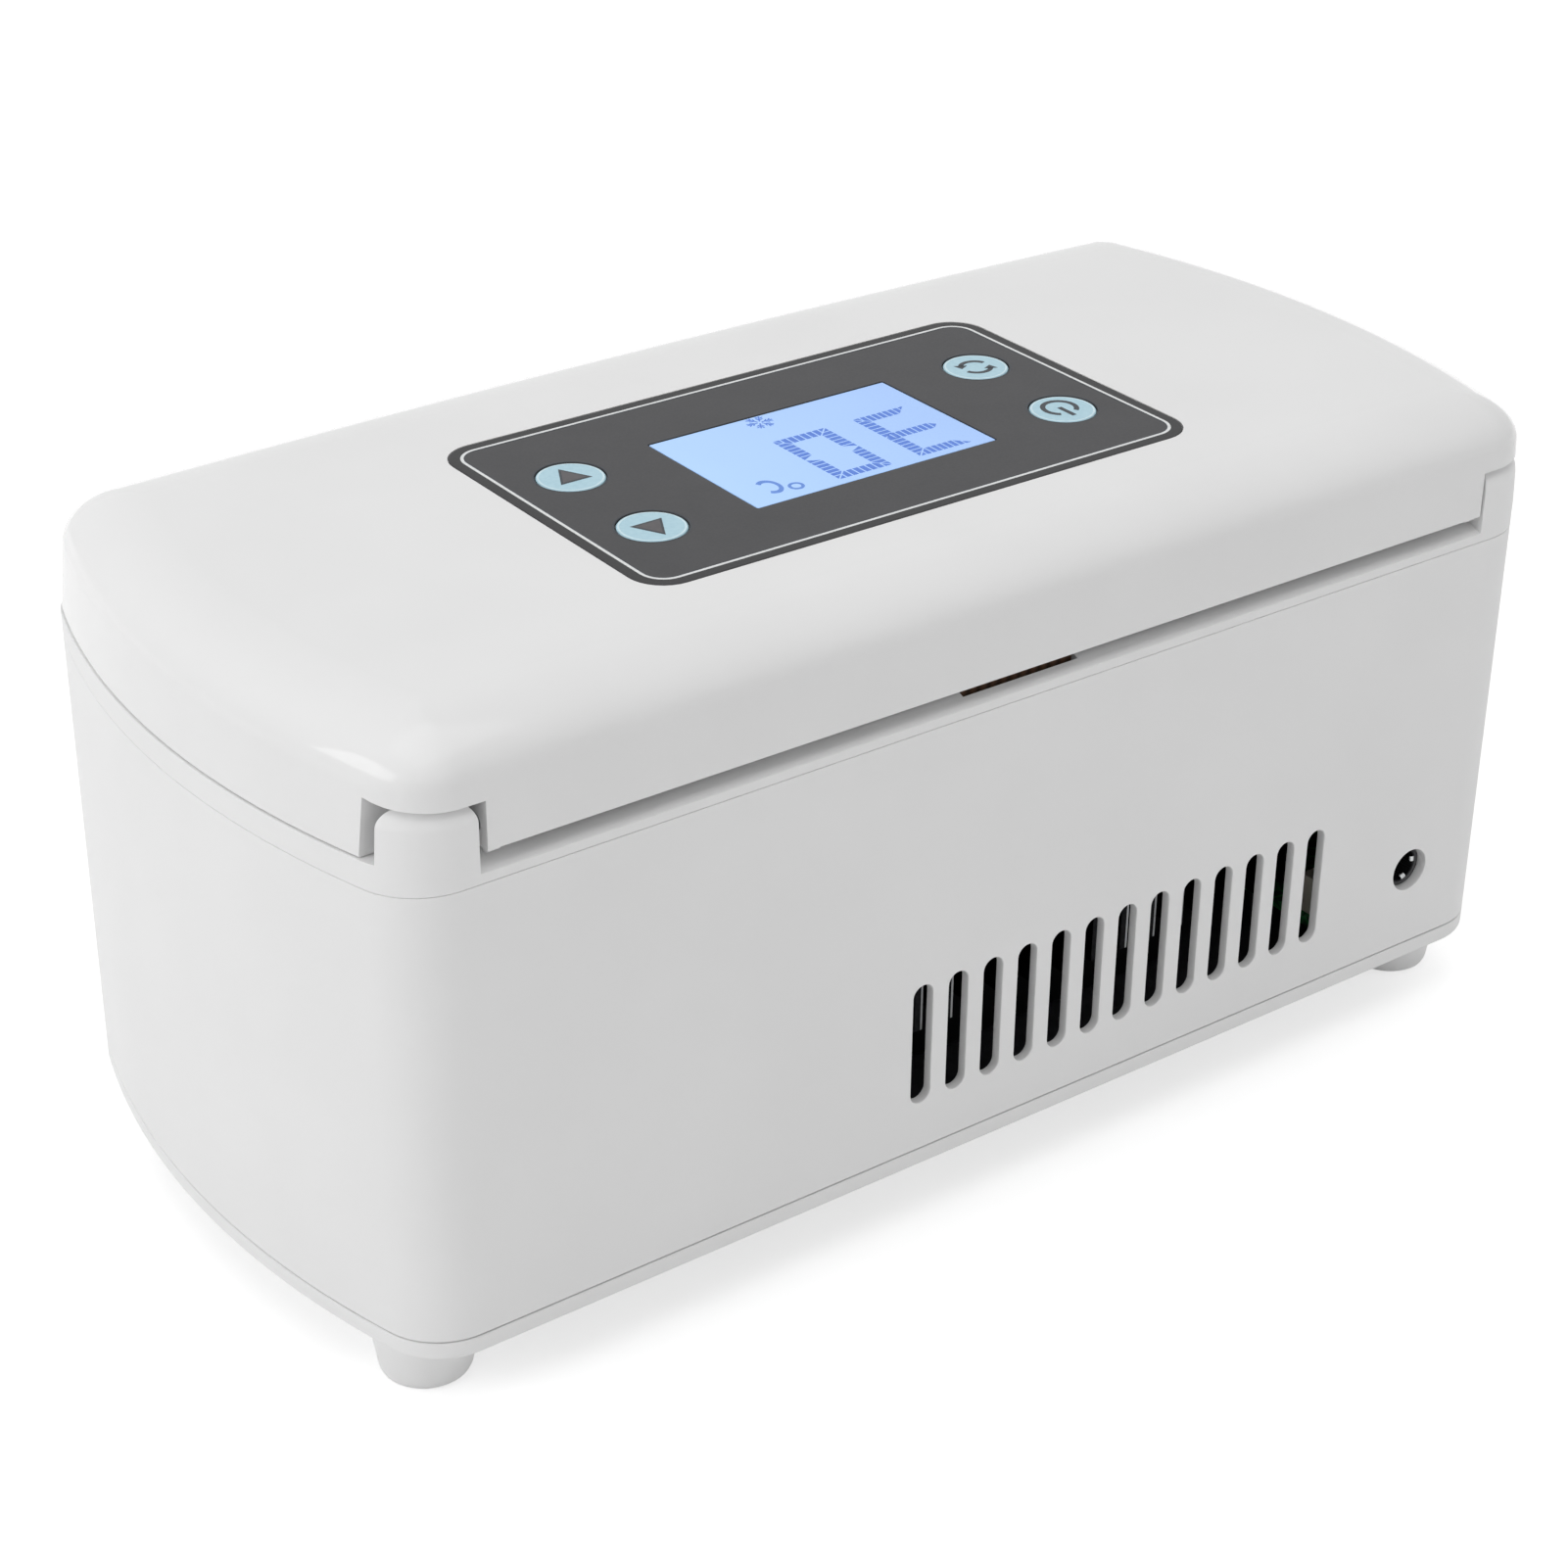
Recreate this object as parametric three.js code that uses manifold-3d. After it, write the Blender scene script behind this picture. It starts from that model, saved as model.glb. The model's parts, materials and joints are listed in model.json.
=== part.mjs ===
// Insulin cooling case: a hinged, insulated box that is chilled by a thermoelectric module.
// Millimetres, +Z up, +X along the case, the hinge and the vents on the +Y side, the floor at z = 0.
import * as THREE from 'three';
import { mergeVertices } from 'three/addons/utils/BufferGeometryUtils.js';
import Module from 'manifold-3d';

const wasm = await Module();
wasm.setup();

// Overall case
const caseLength = 240.8; // across the bowed ends
const caseWidth = 115; // flat rear face to the bowed front
const caseHeight = 115; // floor to lid top
const endBow = 9.7;
const frontBow = 3;
const cornerRadius = 11.5;
const wall = 2.5;
const seam = 0.3; // gap at each parting line that shows
const fit = 0.25; // gap between pieces that seat on each other

// Heights of the outer pieces
const footHeight = 10.8;
const baseRim = 3.5;
const lidHeight = 18.7;
const collarHeight = 4.6;

// Lid
const lidInset = 0.4;
const lidWall = 2.2;
const edgeRoundHeight = 9;
const edgeRoundWidth = 14;
const lidBossRadius = 3;

// Hinge posts, pins and the clearance round them
const postReach = 21.05; // from the end of the case to the post's inner face
const postDepth = 6.2;
const postTopGap = 0.5;
const postRound = 2.6;
const postSideGap = 0.95;
const postFrontGap = 2.4;
const notchHeight = 7.9; // lid's lower edge to the notch ceiling
const hingeSetback = 3.5; // rear face to the hinge axis
const hingeRise = 3.2; // lid's lower edge to the hinge axis
const pinRadius = 1.25;
const pinClearance = 0.2;
const pinInPost = 6.65;
const knuckleRadius = 3;
const knuckleLength = 5.7;
const knuckleTipRadius = 1.3;
const knuckleTipSetback = 2.3;
const recessDepth = 2.8; // collar top to the floor under the lid's rear edge
const recessReach = 7.1;
const scoopWidth = 40; // finger scoop in the collar's front
const scoopDepth = 2.2;

// Control panel on the lid
const panelLength = 108.8;
const panelWidth = 63.2;
const panelCorner = 5;
const panelOffset = 2.9; // panel centre, towards the hinge
const overlayThickness = 0.55;
const panelGap = 0.2;
const lcdLength = 47.9;
const lcdWidth = 30.5;
const lcdFrame = 2.6;
const lcdPlateThickness = 3.3;
const lcdSetback = 0.1;
const backlightThickness = 1.1;
const keyRadius = 5.63;
const keySpacingX = 82.7;
const keySpacingY = 23.1;
const keyFlange = 1.2;
const keyFlangeThickness = 1;
const keyStemRadius = 2;
const keyStemLength = 0.65;
const keySetback = 0.05;
const keyTravel = 0.4;

// Display board
const boardThickness = 1.6;
const displayBoardLength = 100;
const displayBoardWidth = 56;
const displayScrewInset = 3.5;
const switchSize = 6;
const switchHeight = 2.2;
const switchPlungerRadius = 1.7;

// Cold chamber
const chamberEndMargin = 29.4; // end of the case to the chamber
const chamberSideMargin = 27.5; // side of the case to the chamber
const chamberWall = 1.2;
const chamberCorner = 6;
const chamberFlange = 3;
const flangeThickness = 0.8;
const plugClearance = 1.5;
const plugDepth = 4;
const plugWall = 2;
const linerRise = 1.3; // lid's lower edge to the underside of the lid liner
const linerThickness = 2;
const linerEdgeGap = 0.4;
const linerScrewEndInset = 20.9;
const linerScrewRearInset = 27.5;
const linerScrewFrontInset = 18.5;
const gasketWidth = 2.4;
const gasketMargin = 1.6;
const lidFoamEndMargin = 26.4;
const lidFoamSideMargin = 13.5;
const lidFoamThickness = 4;

// Insulation and the thermoelectric stack
const collarLip = 5;
const collarLipThickness = 1.6;
const foamGap = 0.55;
const foamFloor = 10.75; // foam below the chamber
const coolInset = 96.7; // left end of the case to the middle of the cold stack
const coldBlockSize = 43.4;
const coldBlockHeight = 11.25;
const peltierSize = 40;
const peltierThickness = 3.75;
const sinkLength = 90;
const sinkFrontMargin = 24.5;
const sinkRearMargin = 7.5;
const sinkPlate = 5;
const finHeight = 8.75;
const finCount = 15;
const finThickness = 1.6;
const fanSize = 60;
const fanDepth = 15;
const fanFloorGap = 2.7; // room for air under the fan
const fanY = 8;
const fanBore = 28;
const fanCorner = 4;
const fanHubRadius = 13;
const fanMotorPlate = 2.6;
const fanSpokeWidth = 3;
const fanTipGap = 1.5;
const fanBladeCount = 7;
const fanBladeChord = 10;
const fanBladeThickness = 1.2;
const fanBladePitch = THREE.MathUtils.degToRad(40);
const fanHolePitch = 50;
const fanScrewReach = 6.8;
const sensorRadius = 1.4;
const sensorLength = 11.2;

// Vents, power inlet and control board
const ventCount = 13;
const ventPitch = 7.167;
const ventWidth = 4;
const ventHeight = 22.4;
const ventCentreZ = 34.4;
const jackInset = 29.05; // left end of the case to the power inlet
const jackZ = 29.5;
const jackHoleRadius = 4;
const jackWidth = 9.2;
const jackLength = 13;
const jackHeight = 11.6;
const jackSetback = 2.3;
const jackBoreRadius = 3.1;
const jackBoreDepth = 11;
const jackPinRadius = 1;
const jackPinLength = 8.2;
const jackPinRoot = 1.8;
const boardInset = 21.4;
const boardLength = 27;
const boardFrontInset = 49.5;
const boardRearGap = 1.6;
const boardZ = 21.9;
const standoffRadius = 3;
const standoffInset = 3;
const standoffRearInset = 21.5;
const capacitorRadius = 5;
const capacitorHeight = 12;
const chipSize = 10;
const partsGap = 1.4;
const chipThickness = 1.6;

// Flat cable between the two boards
const cableThickness = 0.5;
const cableWidth = 22.2;
const cableX = 0.4;
const cableTailWidth = 11.4;
const cableRunZ = 47;
const cableRunWidth = 11;
const cableEndZ = 26;
const cableSlotGap = 0.4;
const cableEdgeGap = 0.6; // lid's lower edge to the end of the lid's cable
const connectorDepth = 4.7;
const connectorHeight = 7.2;

// Base, feet and screws
const basePlate = 2.4;
const baseEdgeRound = 0.8;
const footInsetX = 16.4;
const footInsetY = 14.8;
const footTopRadius = 8.7;
const footBottomRadius = 7.4;
const footEdgeRound = 1.2;
const footBoreRadius = 3.4;
const footBoreDepth = 6;
const bossRadius = 3.8;
const bossHeight = 26;
const ribWidth = 2.4;
const screwClearance = 0.25;
const grilleSlots = 7;
const grilleSlotWidth = 3.4;
const grilleSlotLength = 44;
const grillePitch = 6.6;

// Curve steps: fine where a curve shows, plain inside the case
const fineOutline = { end: 12, corner: 7, front: 12 };
const plainOutline = { end: 6, corner: 3, front: 6 };
const cornerSteps = 6;
const plainCornerSteps = 3;
const roundSteps = 6;
const hollowSteps = 2;
const circleSteps = 24;
const screwSteps = 10;
const ventSteps = 5;
const scoopSteps = 120;

// Levels and faces worked out from the sizes above
const rearY = caseWidth / 2;
const frontCornerY = frontBow - rearY;
const middleY = (rearY + frontCornerY) / 2;
const lidTop = caseHeight;
const lidEdge = lidTop - lidHeight;
const lidCeiling = lidTop - lidWall;
const collarTop = lidEdge - seam;
const collarFoot = lidEdge - collarHeight;
const bodyTop = collarFoot - seam;
const bodyFoot = footHeight + baseRim;
const baseTop = bodyFoot - seam;
const baseFloor = footHeight + basePlate;
const hingeY = rearY - hingeSetback;
const hingeZ = lidEdge + hingeRise;
const postInnerX = caseLength / 2 - postReach;
const postFrontY = rearY - postDepth;
const notchX = postInnerX - postSideGap;
const notchY = postFrontY - postFrontGap;
const notchTop = lidEdge + notchHeight;
const postTop = notchTop - postTopGap;
const footX = caseLength / 2 - footInsetX;
const footRearY = rearY - footInsetY;
const footFrontY = frontCornerY + footInsetY;
const chamberLength = caseLength - 2 * chamberEndMargin;
const chamberWidth = caseWidth - 2 * chamberSideMargin;
const linerScrewX = caseLength / 2 - linerScrewEndInset;
const linerScrewRearY = rearY - linerScrewRearInset;
const linerScrewFrontY = frontCornerY + linerScrewFrontInset;
const lidFoamLength = caseLength - 2 * lidFoamEndMargin;
const lidFoamWidth = caseWidth - 2 * lidFoamSideMargin;
const coolX = coolInset - caseLength / 2;
const sinkFrontY = frontCornerY + sinkFrontMargin;
const sinkRearY = rearY - sinkRearMargin;
const jackX = jackInset - caseLength / 2;
const boardLeftX = boardInset - caseLength / 2;
const boardRightX = boardLeftX + boardLength;
const boardFrontY = rearY - boardFrontInset;
const standoffRearY = rearY - standoffRearInset;
const beyond = caseLength; // reach of a cut that runs out of the case

// White plastic, metals and the rest, as seen in daylight
const finishes = {
  casing: { color: 0xe9e9e9, roughness: 0.32, metalness: 0 },
  film: { color: 0x565658, roughness: 0.45, metalness: 0 },
  key: { color: 0xbde0ea, roughness: 0.4, metalness: 0 },
  lcd: { color: 0xb5d3ff, roughness: 0.15, metalness: 0 },
  diffuser: { color: 0xf4f8ff, roughness: 0.5, metalness: 0 },
  board: { color: 0x1f6b3a, roughness: 0.5, metalness: 0 },
  black: { color: 0x1b1b1d, roughness: 0.5, metalness: 0 },
  foam: { color: 0xf1efe6, roughness: 0.9, metalness: 0 },
  rubber: { color: 0x8f9294, roughness: 0.8, metalness: 0 },
  aluminium: { color: 0xc4c7ca, roughness: 0.35, metalness: 1 },
  steel: { color: 0xb4b7ba, roughness: 0.3, metalness: 1 },
  ceramic: { color: 0xf3f2ee, roughness: 0.6, metalness: 0 },
  cable: { color: 0x5b4028, roughness: 0.6, metalness: 0 },
};

// A closed geometry as a solid that can be joined and cut
function solid(geometry) {
  const plain = geometry.index ? geometry.toNonIndexed() : geometry;
  const bare = new THREE.BufferGeometry();
  bare.setAttribute('position', plain.getAttribute('position'));
  const merged = mergeVertices(bare, 1e-4);
  const mesh = new wasm.Mesh({
    numProp: 3,
    vertProperties: new Float32Array(merged.getAttribute('position').array),
    triVerts: new Uint32Array(merged.index.array),
  });
  return new wasm.Manifold(mesh);
}

// A solid back as a geometry for a mesh
function geometryOf(body) {
  const { vertProperties, triVerts } = body.getMesh();
  const geometry = new THREE.BufferGeometry();
  geometry.setAttribute('position', new THREE.BufferAttribute(vertProperties, 3));
  geometry.setIndex(new THREE.BufferAttribute(triVerts, 1));
  geometry.computeVertexNormals();
  return geometry;
}

function addPiece(parent, name, body, finish) {
  const mesh = new THREE.Mesh(geometryOf(body), new THREE.MeshStandardMaterial(finishes[finish]));
  mesh.name = name;
  parent.add(mesh);
}

function joined(bodies) {
  return bodies.reduce((whole, body) => whole.add(body));
}

function block(x0, x1, y0, y1, z0, z1) {
  const geometry = new THREE.BoxGeometry(x1 - x0, y1 - y0, z1 - z0);
  geometry.translate((x0 + x1) / 2, (y0 + y1) / 2, (z0 + z1) / 2);
  return solid(geometry);
}

// A block given by its centre and its spans
function slab(x, y, spanX, spanY, z0, z1) {
  return block(x - spanX / 2, x + spanX / 2, y - spanY / 2, y + spanY / 2, z0, z1);
}

// A round bar between two points
function rod(radius, start, end, steps = circleSteps) {
  const from = new THREE.Vector3(...start);
  const along = new THREE.Vector3(...end).sub(from);
  const geometry = new THREE.CylinderGeometry(radius, radius, along.length(), steps);
  geometry.translate(0, along.length() / 2, 0);
  const turn = new THREE.Quaternion().setFromUnitVectors(new THREE.Vector3(0, 1, 0), along.normalize());
  geometry.applyQuaternion(turn);
  geometry.translate(from.x, from.y, from.z);
  return solid(geometry);
}

function upright(radius, x, y, z0, z1, steps = circleSteps) {
  return rod(radius, [x, y, z0], [x, y, z1], steps);
}

// A profile of [radius, height] pairs, from the axis up and back to the axis, turned about a vertical axis
function turned(profile, x, y, z, steps = circleSteps) {
  const points = profile.map(([radius, height]) => new THREE.Vector2(radius, height));
  const geometry = new THREE.LatheGeometry(points, steps);
  geometry.rotateX(Math.PI / 2);
  geometry.translate(x, y, z);
  return solid(geometry);
}

function prism(points, z0, z1) {
  const options = { depth: z1 - z0, bevelEnabled: false };
  const geometry = new THREE.ExtrudeGeometry(new THREE.Shape(points), options);
  geometry.translate(0, 0, z0);
  return solid(geometry);
}

// An outline drawn in X and Z, run along Y
function prismAlongY(points, y0, y1) {
  const options = { depth: y1 - y0, bevelEnabled: false };
  const geometry = new THREE.ExtrudeGeometry(new THREE.Shape(points), options);
  geometry.rotateX(Math.PI / 2);
  geometry.translate(0, y1, 0);
  return solid(geometry);
}

// An outline drawn in Y and Z, run along X
function prismAlongX(points, x0, x1) {
  const options = { depth: x1 - x0, bevelEnabled: false };
  const geometry = new THREE.ExtrudeGeometry(new THREE.Shape(points), options);
  geometry.rotateX(Math.PI / 2);
  geometry.rotateZ(Math.PI / 2);
  geometry.translate(x0, 0, 0);
  return solid(geometry);
}

// Stacked outlines with the same number of points, closed at both ends
function loft(rings) {
  const count = rings[0].points.length;
  const positions = [];
  const index = [];
  for (const { points, z } of rings) {
    for (const point of points) positions.push(point.x, point.y, z);
  }
  for (let ring = 0; ring < rings.length - 1; ring += 1) {
    for (let i = 0; i < count; i += 1) {
      const a = ring * count + i;
      const b = ring * count + ((i + 1) % count);
      index.push(a, b, b + count, a, b + count, a + count);
    }
  }
  const top = (rings.length - 1) * count;
  for (const [a, b, c] of THREE.ShapeUtils.triangulateShape(rings[0].points, [])) index.push(c, b, a);
  for (const [a, b, c] of THREE.ShapeUtils.triangulateShape(rings.at(-1).points, [])) {
    index.push(top + a, top + b, top + c);
  }
  const geometry = new THREE.BufferGeometry();
  geometry.setAttribute('position', new THREE.Float32BufferAttribute(positions, 3));
  geometry.setIndex(index);
  return solid(geometry);
}

// Points along an arc, from its start angle to its end angle, both included
function arcPoints(centre, radius, start, end, steps) {
  const points = [];
  for (let i = 0; i <= steps; i += 1) {
    const angle = start + ((end - start) * i) / steps;
    points.push(new THREE.Vector2(centre.x + radius * Math.cos(angle), centre.y + radius * Math.sin(angle)));
  }
  return points;
}

function roundedRectangle(length, width, radius, x, y, steps = cornerSteps) {
  const reachX = length / 2 - radius;
  const reachY = width / 2 - radius;
  const quarter = Math.PI / 2;
  const corners = [[1, -1], [1, 1], [-1, 1], [-1, -1]];
  return corners.flatMap(([sideX, sideY], i) => {
    const centre = new THREE.Vector2(x + sideX * reachX, y + sideY * reachY);
    return arcPoints(centre, radius, (i - 1) * quarter, i * quarter, steps);
  });
}

// The case seen from above: flat rear, bowed front and ends, round corners, drawn in by an inset
const leastCorner = 0.6;
const endRadius = ((rearY - middleY) ** 2 + endBow ** 2) / (2 * endBow);
const endCentre = new THREE.Vector2(caseLength / 2 - endRadius, middleY);
const chordX = caseLength / 2 - endBow;
const frontRadius = (chordX ** 2 + frontBow ** 2) / (2 * frontBow);
const frontCentre = new THREE.Vector2(0, frontRadius - rearY);

// Where the rear corner's arc has its centre, for a given depth from the outside
function rearCornerCentre(depth) {
  const y = rearY - depth;
  return new THREE.Vector2(endCentre.x + Math.sqrt((endRadius - depth) ** 2 - (y - endCentre.y) ** 2), y);
}

// Where the front corner's arc has its centre: the meeting point of the two drawn-in bows
function frontCornerCentre(depth) {
  const nearRadius = endRadius - depth;
  const farRadius = frontRadius - depth;
  const between = frontCentre.clone().sub(endCentre);
  const distance = between.length();
  const along = (nearRadius ** 2 - farRadius ** 2 + distance ** 2) / (2 * distance);
  const across = Math.sqrt(nearRadius ** 2 - along ** 2);
  const unit = between.normalize();
  const side = new THREE.Vector2(unit.y, -unit.x);
  return endCentre.clone().addScaledVector(unit, along).addScaledVector(side, across);
}

function angleFrom(centre, point) {
  return Math.atan2(point.y - centre.y, point.x - centre.x);
}

function caseOutline(inset, steps = fineOutline) {
  const radius = Math.max(cornerRadius - inset, leastCorner);
  const rear = rearCornerCentre(inset + radius);
  const front = frontCornerCentre(inset + radius);
  const rearAngle = angleFrom(endCentre, rear);
  const frontAngle = angleFrom(endCentre, front);
  const bowAngle = angleFrom(frontCentre, front);
  const mirrored = (point) => new THREE.Vector2(-point.x, point.y);
  const turn = Math.PI;
  const end = arcPoints(endCentre, endRadius - inset, frontAngle, rearAngle, steps.end).slice(1, -1);
  const bowStart = -turn - bowAngle;
  const bow = arcPoints(frontCentre, frontRadius - inset, bowStart, bowAngle, steps.front).slice(1, -1);
  return [
    ...arcPoints(rear, radius, rearAngle, turn / 2, steps.corner),
    ...arcPoints(mirrored(rear), radius, turn / 2, turn - rearAngle, steps.corner),
    ...end.map(mirrored).reverse(),
    ...arcPoints(mirrored(front), radius, turn - frontAngle, turn - bowAngle, steps.corner),
    ...bow,
    ...arcPoints(front, radius, bowAngle, frontAngle, steps.corner),
    ...end,
  ];
}

function caseRing(outerInset, innerInset, z0, z1, steps) {
  const core = prism(caseOutline(innerInset, plainOutline), z0 - 1, z1 + 1);
  return prism(caseOutline(outerInset, steps), z0, z1).subtract(core);
}

// A pan-head screw that points up: its head is below the joint face and its shank above it
function screw({ x, y }, faceZ, { headRadius, headHeight, radius, length }) {
  const profile = [
    [0, -headHeight],
    [headRadius, -headHeight],
    [headRadius, 0],
    [radius, 0],
    [radius, length],
    [0, length],
  ];
  return turned(profile, x, y, faceZ, screwSteps);
}

// Four corners about a centre, named by side: left is -X and rear is +Y
function fourCorners(centreX, centreY, spanX, spanY) {
  const sides = [['left', -1], ['right', 1]];
  const ends = [['front', -1], ['rear', 1]];
  return sides.flatMap(([sideName, sideX]) => ends.map(([endName, sideY]) => ({
    name: `${endName}_${sideName}`,
    x: centreX + (sideX * spanX) / 2,
    y: centreY + (sideY * spanY) / 2,
  })));
}

// Outer lid shape or its hollow, drawn in by a further inset
function lidForm(inset, foot, outline, steps) {
  const shoulder = lidTop - edgeRoundHeight;
  const rings = [{ points: caseOutline(lidInset + inset, outline), z: foot }];
  for (let i = 0; i <= steps; i += 1) {
    const angle = (i / steps) * (Math.PI / 2);
    const drawnIn = (edgeRoundWidth - inset) * (1 - Math.cos(angle));
    const rise = (edgeRoundHeight - inset) * Math.sin(angle);
    rings.push({ points: caseOutline(lidInset + inset + drawnIn, outline), z: shoulder + rise });
  }
  return loft(rings);
}

// Places on the control panel
const keyPlaces = [
  { name: 'key_up', x: keySpacingX / 2, y: panelOffset + keySpacingY / 2 },
  { name: 'key_down', x: keySpacingX / 2, y: panelOffset - keySpacingY / 2 },
  { name: 'key_mode', x: -keySpacingX / 2, y: panelOffset - keySpacingY / 2 },
  { name: 'key_power', x: -keySpacingX / 2, y: panelOffset + keySpacingY / 2 },
];
const recessFloor = lidTop - overlayThickness - fit;
const keyTop = lidTop - keySetback;
const keyFlangeTop = lidCeiling - fit;
const keyStemFoot = keyFlangeTop - keyFlangeThickness - keyStemLength;
const lcdPlateTop = lidCeiling - fit;
const lcdPlateFoot = lcdPlateTop - lcdPlateThickness;
const backlightFoot = lcdPlateFoot - fit - backlightThickness;
const displayBoardTop = backlightFoot - fit;
const displayBoardFoot = displayBoardTop - boardThickness;
const displayScrews = fourCorners(
  0,
  panelOffset,
  displayBoardLength - 2 * displayScrewInset,
  displayBoardWidth - 2 * displayScrewInset,
);
const displayScrewShank = { headRadius: 2.4, headHeight: 1.2, radius: 1.1, length: 5 };

// Places on the lid liner
const linerFoot = lidEdge + linerRise;
const linerTop = linerFoot + linerThickness;
const linerScrewShank = { headRadius: 2.6, headHeight: 0.65, radius: 1.2, length: 7.5 };
const linerSeat = linerFoot + linerThickness / 2;
const linerScrews = ['left', 'right'].flatMap((side) => {
  const x = side === 'left' ? -linerScrewX : linerScrewX;
  return [
    { name: `rear_${side}`, x, y: linerScrewRearY },
    { name: `front_${side}`, x, y: linerScrewFrontY },
  ];
});

function hingePin(side) {
  const start = [side * (notchX - knuckleLength + fit), hingeY, hingeZ];
  const end = [side * (postInnerX + pinInPost), hingeY, hingeZ];
  return rod(pinRadius, start, end, screwSteps);
}

// The control panel's outline, grown by a margin
function panelOutline(margin) {
  const length = panelLength + 2 * margin;
  const width = panelWidth + 2 * margin;
  return roundedRectangle(length, width, panelCorner + margin, 0, panelOffset);
}

function lidShell() {
  const outer = lidForm(0, lidEdge, fineOutline, roundSteps);
  let shell = outer.subtract(lidForm(lidWall, lidEdge - 1, plainOutline, hollowSteps));
  for (const side of [-1, 1]) {
    const corner = (gap, z0, z1) => {
      const inner = side * (notchX - gap);
      const outside = side * beyond;
      const [x0, x1] = side < 0 ? [outside, inner] : [inner, outside];
      return block(x0, x1, notchY - gap, beyond, z0, z1);
    };
    shell = shell.add(corner(lidWall, lidEdge, notchTop + lidWall).intersect(outer));
    shell = shell.subtract(corner(0, lidEdge - 1, notchTop));
    const knuckleEnds = [side * (notchX - knuckleLength), side * (notchX - fit)];
    const [start, end] = knuckleEnds.map((x) => [x, hingeY, hingeZ]);
    const tipPlace = [rearY - knuckleTipSetback, lidEdge + fit];
    const [tipStart, tipEnd] = knuckleEnds.map((x) => [x, ...tipPlace]);
    const holeStart = [side * (notchX - knuckleLength - fit), hingeY, hingeZ];
    const hole = rod(pinRadius + pinClearance, holeStart, [side * postInnerX, hingeY, hingeZ], screwSteps);
    shell = shell.add(rod(knuckleRadius, start, end));
    shell = shell.add(rod(knuckleTipRadius, tipStart, tipEnd, screwSteps));
    shell = shell.subtract(hole);
  }
  for (const { x, y } of displayScrews) {
    const boss = upright(lidBossRadius, x, y, displayBoardTop + fit, lidCeiling + 1, screwSteps);
    const bore = displayScrewShank.radius + screwClearance;
    const reach = displayBoardFoot + displayScrewShank.length + fit;
    shell = shell.add(boss).subtract(upright(bore, x, y, displayBoardFoot, reach, screwSteps));
  }
  for (const { x, y } of linerScrews) {
    const boss = upright(lidBossRadius, x, y, linerTop + fit, lidCeiling + 1, screwSteps);
    const bore = linerScrewShank.radius + screwClearance;
    const reach = linerSeat + linerScrewShank.length + fit;
    shell = shell.add(boss).subtract(upright(bore, x, y, linerSeat, reach, screwSteps));
  }
  shell = shell.subtract(prism(panelOutline(panelGap), recessFloor, lidTop + 1));
  const windowLength = lcdLength + 2 * fit;
  const windowWidth = lcdWidth + 2 * fit;
  shell = shell.subtract(slab(0, panelOffset, windowLength, windowWidth, lidCeiling - 1, lidTop));
  for (const { x, y } of keyPlaces) {
    shell = shell.subtract(upright(keyRadius + fit, x, y, lidCeiling - 1, lidTop));
  }
  return shell;
}

function keypadOverlay() {
  const foot = lidTop - overlayThickness;
  const windowLength = lcdLength + 2 * panelGap;
  const windowWidth = lcdWidth + 2 * panelGap;
  let film = prism(panelOutline(0), foot, lidTop);
  film = film.subtract(slab(0, panelOffset, windowLength, windowWidth, foot - 1, lidTop + 1));
  for (const { x, y } of keyPlaces) {
    film = film.subtract(upright(keyRadius + panelGap, x, y, foot - 1, lidTop + 1));
  }
  return film;
}

function panelKey({ x, y }) {
  const flangeFoot = keyFlangeTop - keyFlangeThickness;
  const profile = [
    [0, keyStemFoot],
    [keyStemRadius, keyStemFoot],
    [keyStemRadius, flangeFoot],
    [keyRadius + keyFlange, flangeFoot],
    [keyRadius + keyFlange, keyFlangeTop],
    [keyRadius, keyFlangeTop],
    [keyRadius, keyTop],
    [0, keyTop],
  ];
  return turned(profile, x, y, 0);
}

function tactSwitch({ x, y }) {
  const foot = displayBoardTop + fit;
  const plungerTop = keyStemFoot - keyTravel - fit;
  const housing = slab(x, y, switchSize, switchSize, foot, foot + switchHeight);
  return housing.add(upright(switchPlungerRadius, x, y, foot, plungerTop, screwSteps));
}

const lcdPlateLength = lcdLength + 2 * lcdFrame;
const lcdPlateWidth = lcdWidth + 2 * lcdFrame;

function lcdModule() {
  const plate = slab(0, panelOffset, lcdPlateLength, lcdPlateWidth, lcdPlateFoot, lcdPlateTop);
  return plate.add(slab(0, panelOffset, lcdLength, lcdWidth, lcdPlateFoot, lidTop - lcdSetback));
}

function backlight() {
  const top = backlightFoot + backlightThickness;
  return slab(0, panelOffset, lcdPlateLength, lcdPlateWidth, backlightFoot, top);
}

function displayBoard() {
  let board = slab(0, panelOffset, displayBoardLength, displayBoardWidth, displayBoardFoot, displayBoardTop);
  for (const { x, y } of displayScrews) {
    const bore = displayScrewShank.radius + screwClearance;
    board = board.subtract(upright(bore, x, y, displayBoardFoot - 1, displayBoardTop + 1, screwSteps));
  }
  return board;
}

function chamberOutline(growth) {
  const length = chamberLength + 2 * growth;
  const width = chamberWidth + 2 * growth;
  return roundedRectangle(length, width, chamberCorner + growth, 0, 0, plainCornerSteps);
}

const plugFoot = collarTop - plugDepth;
const lidFoamFoot = linerTop + fit;
const lidFoamTop = lidFoamFoot + lidFoamThickness;

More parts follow.
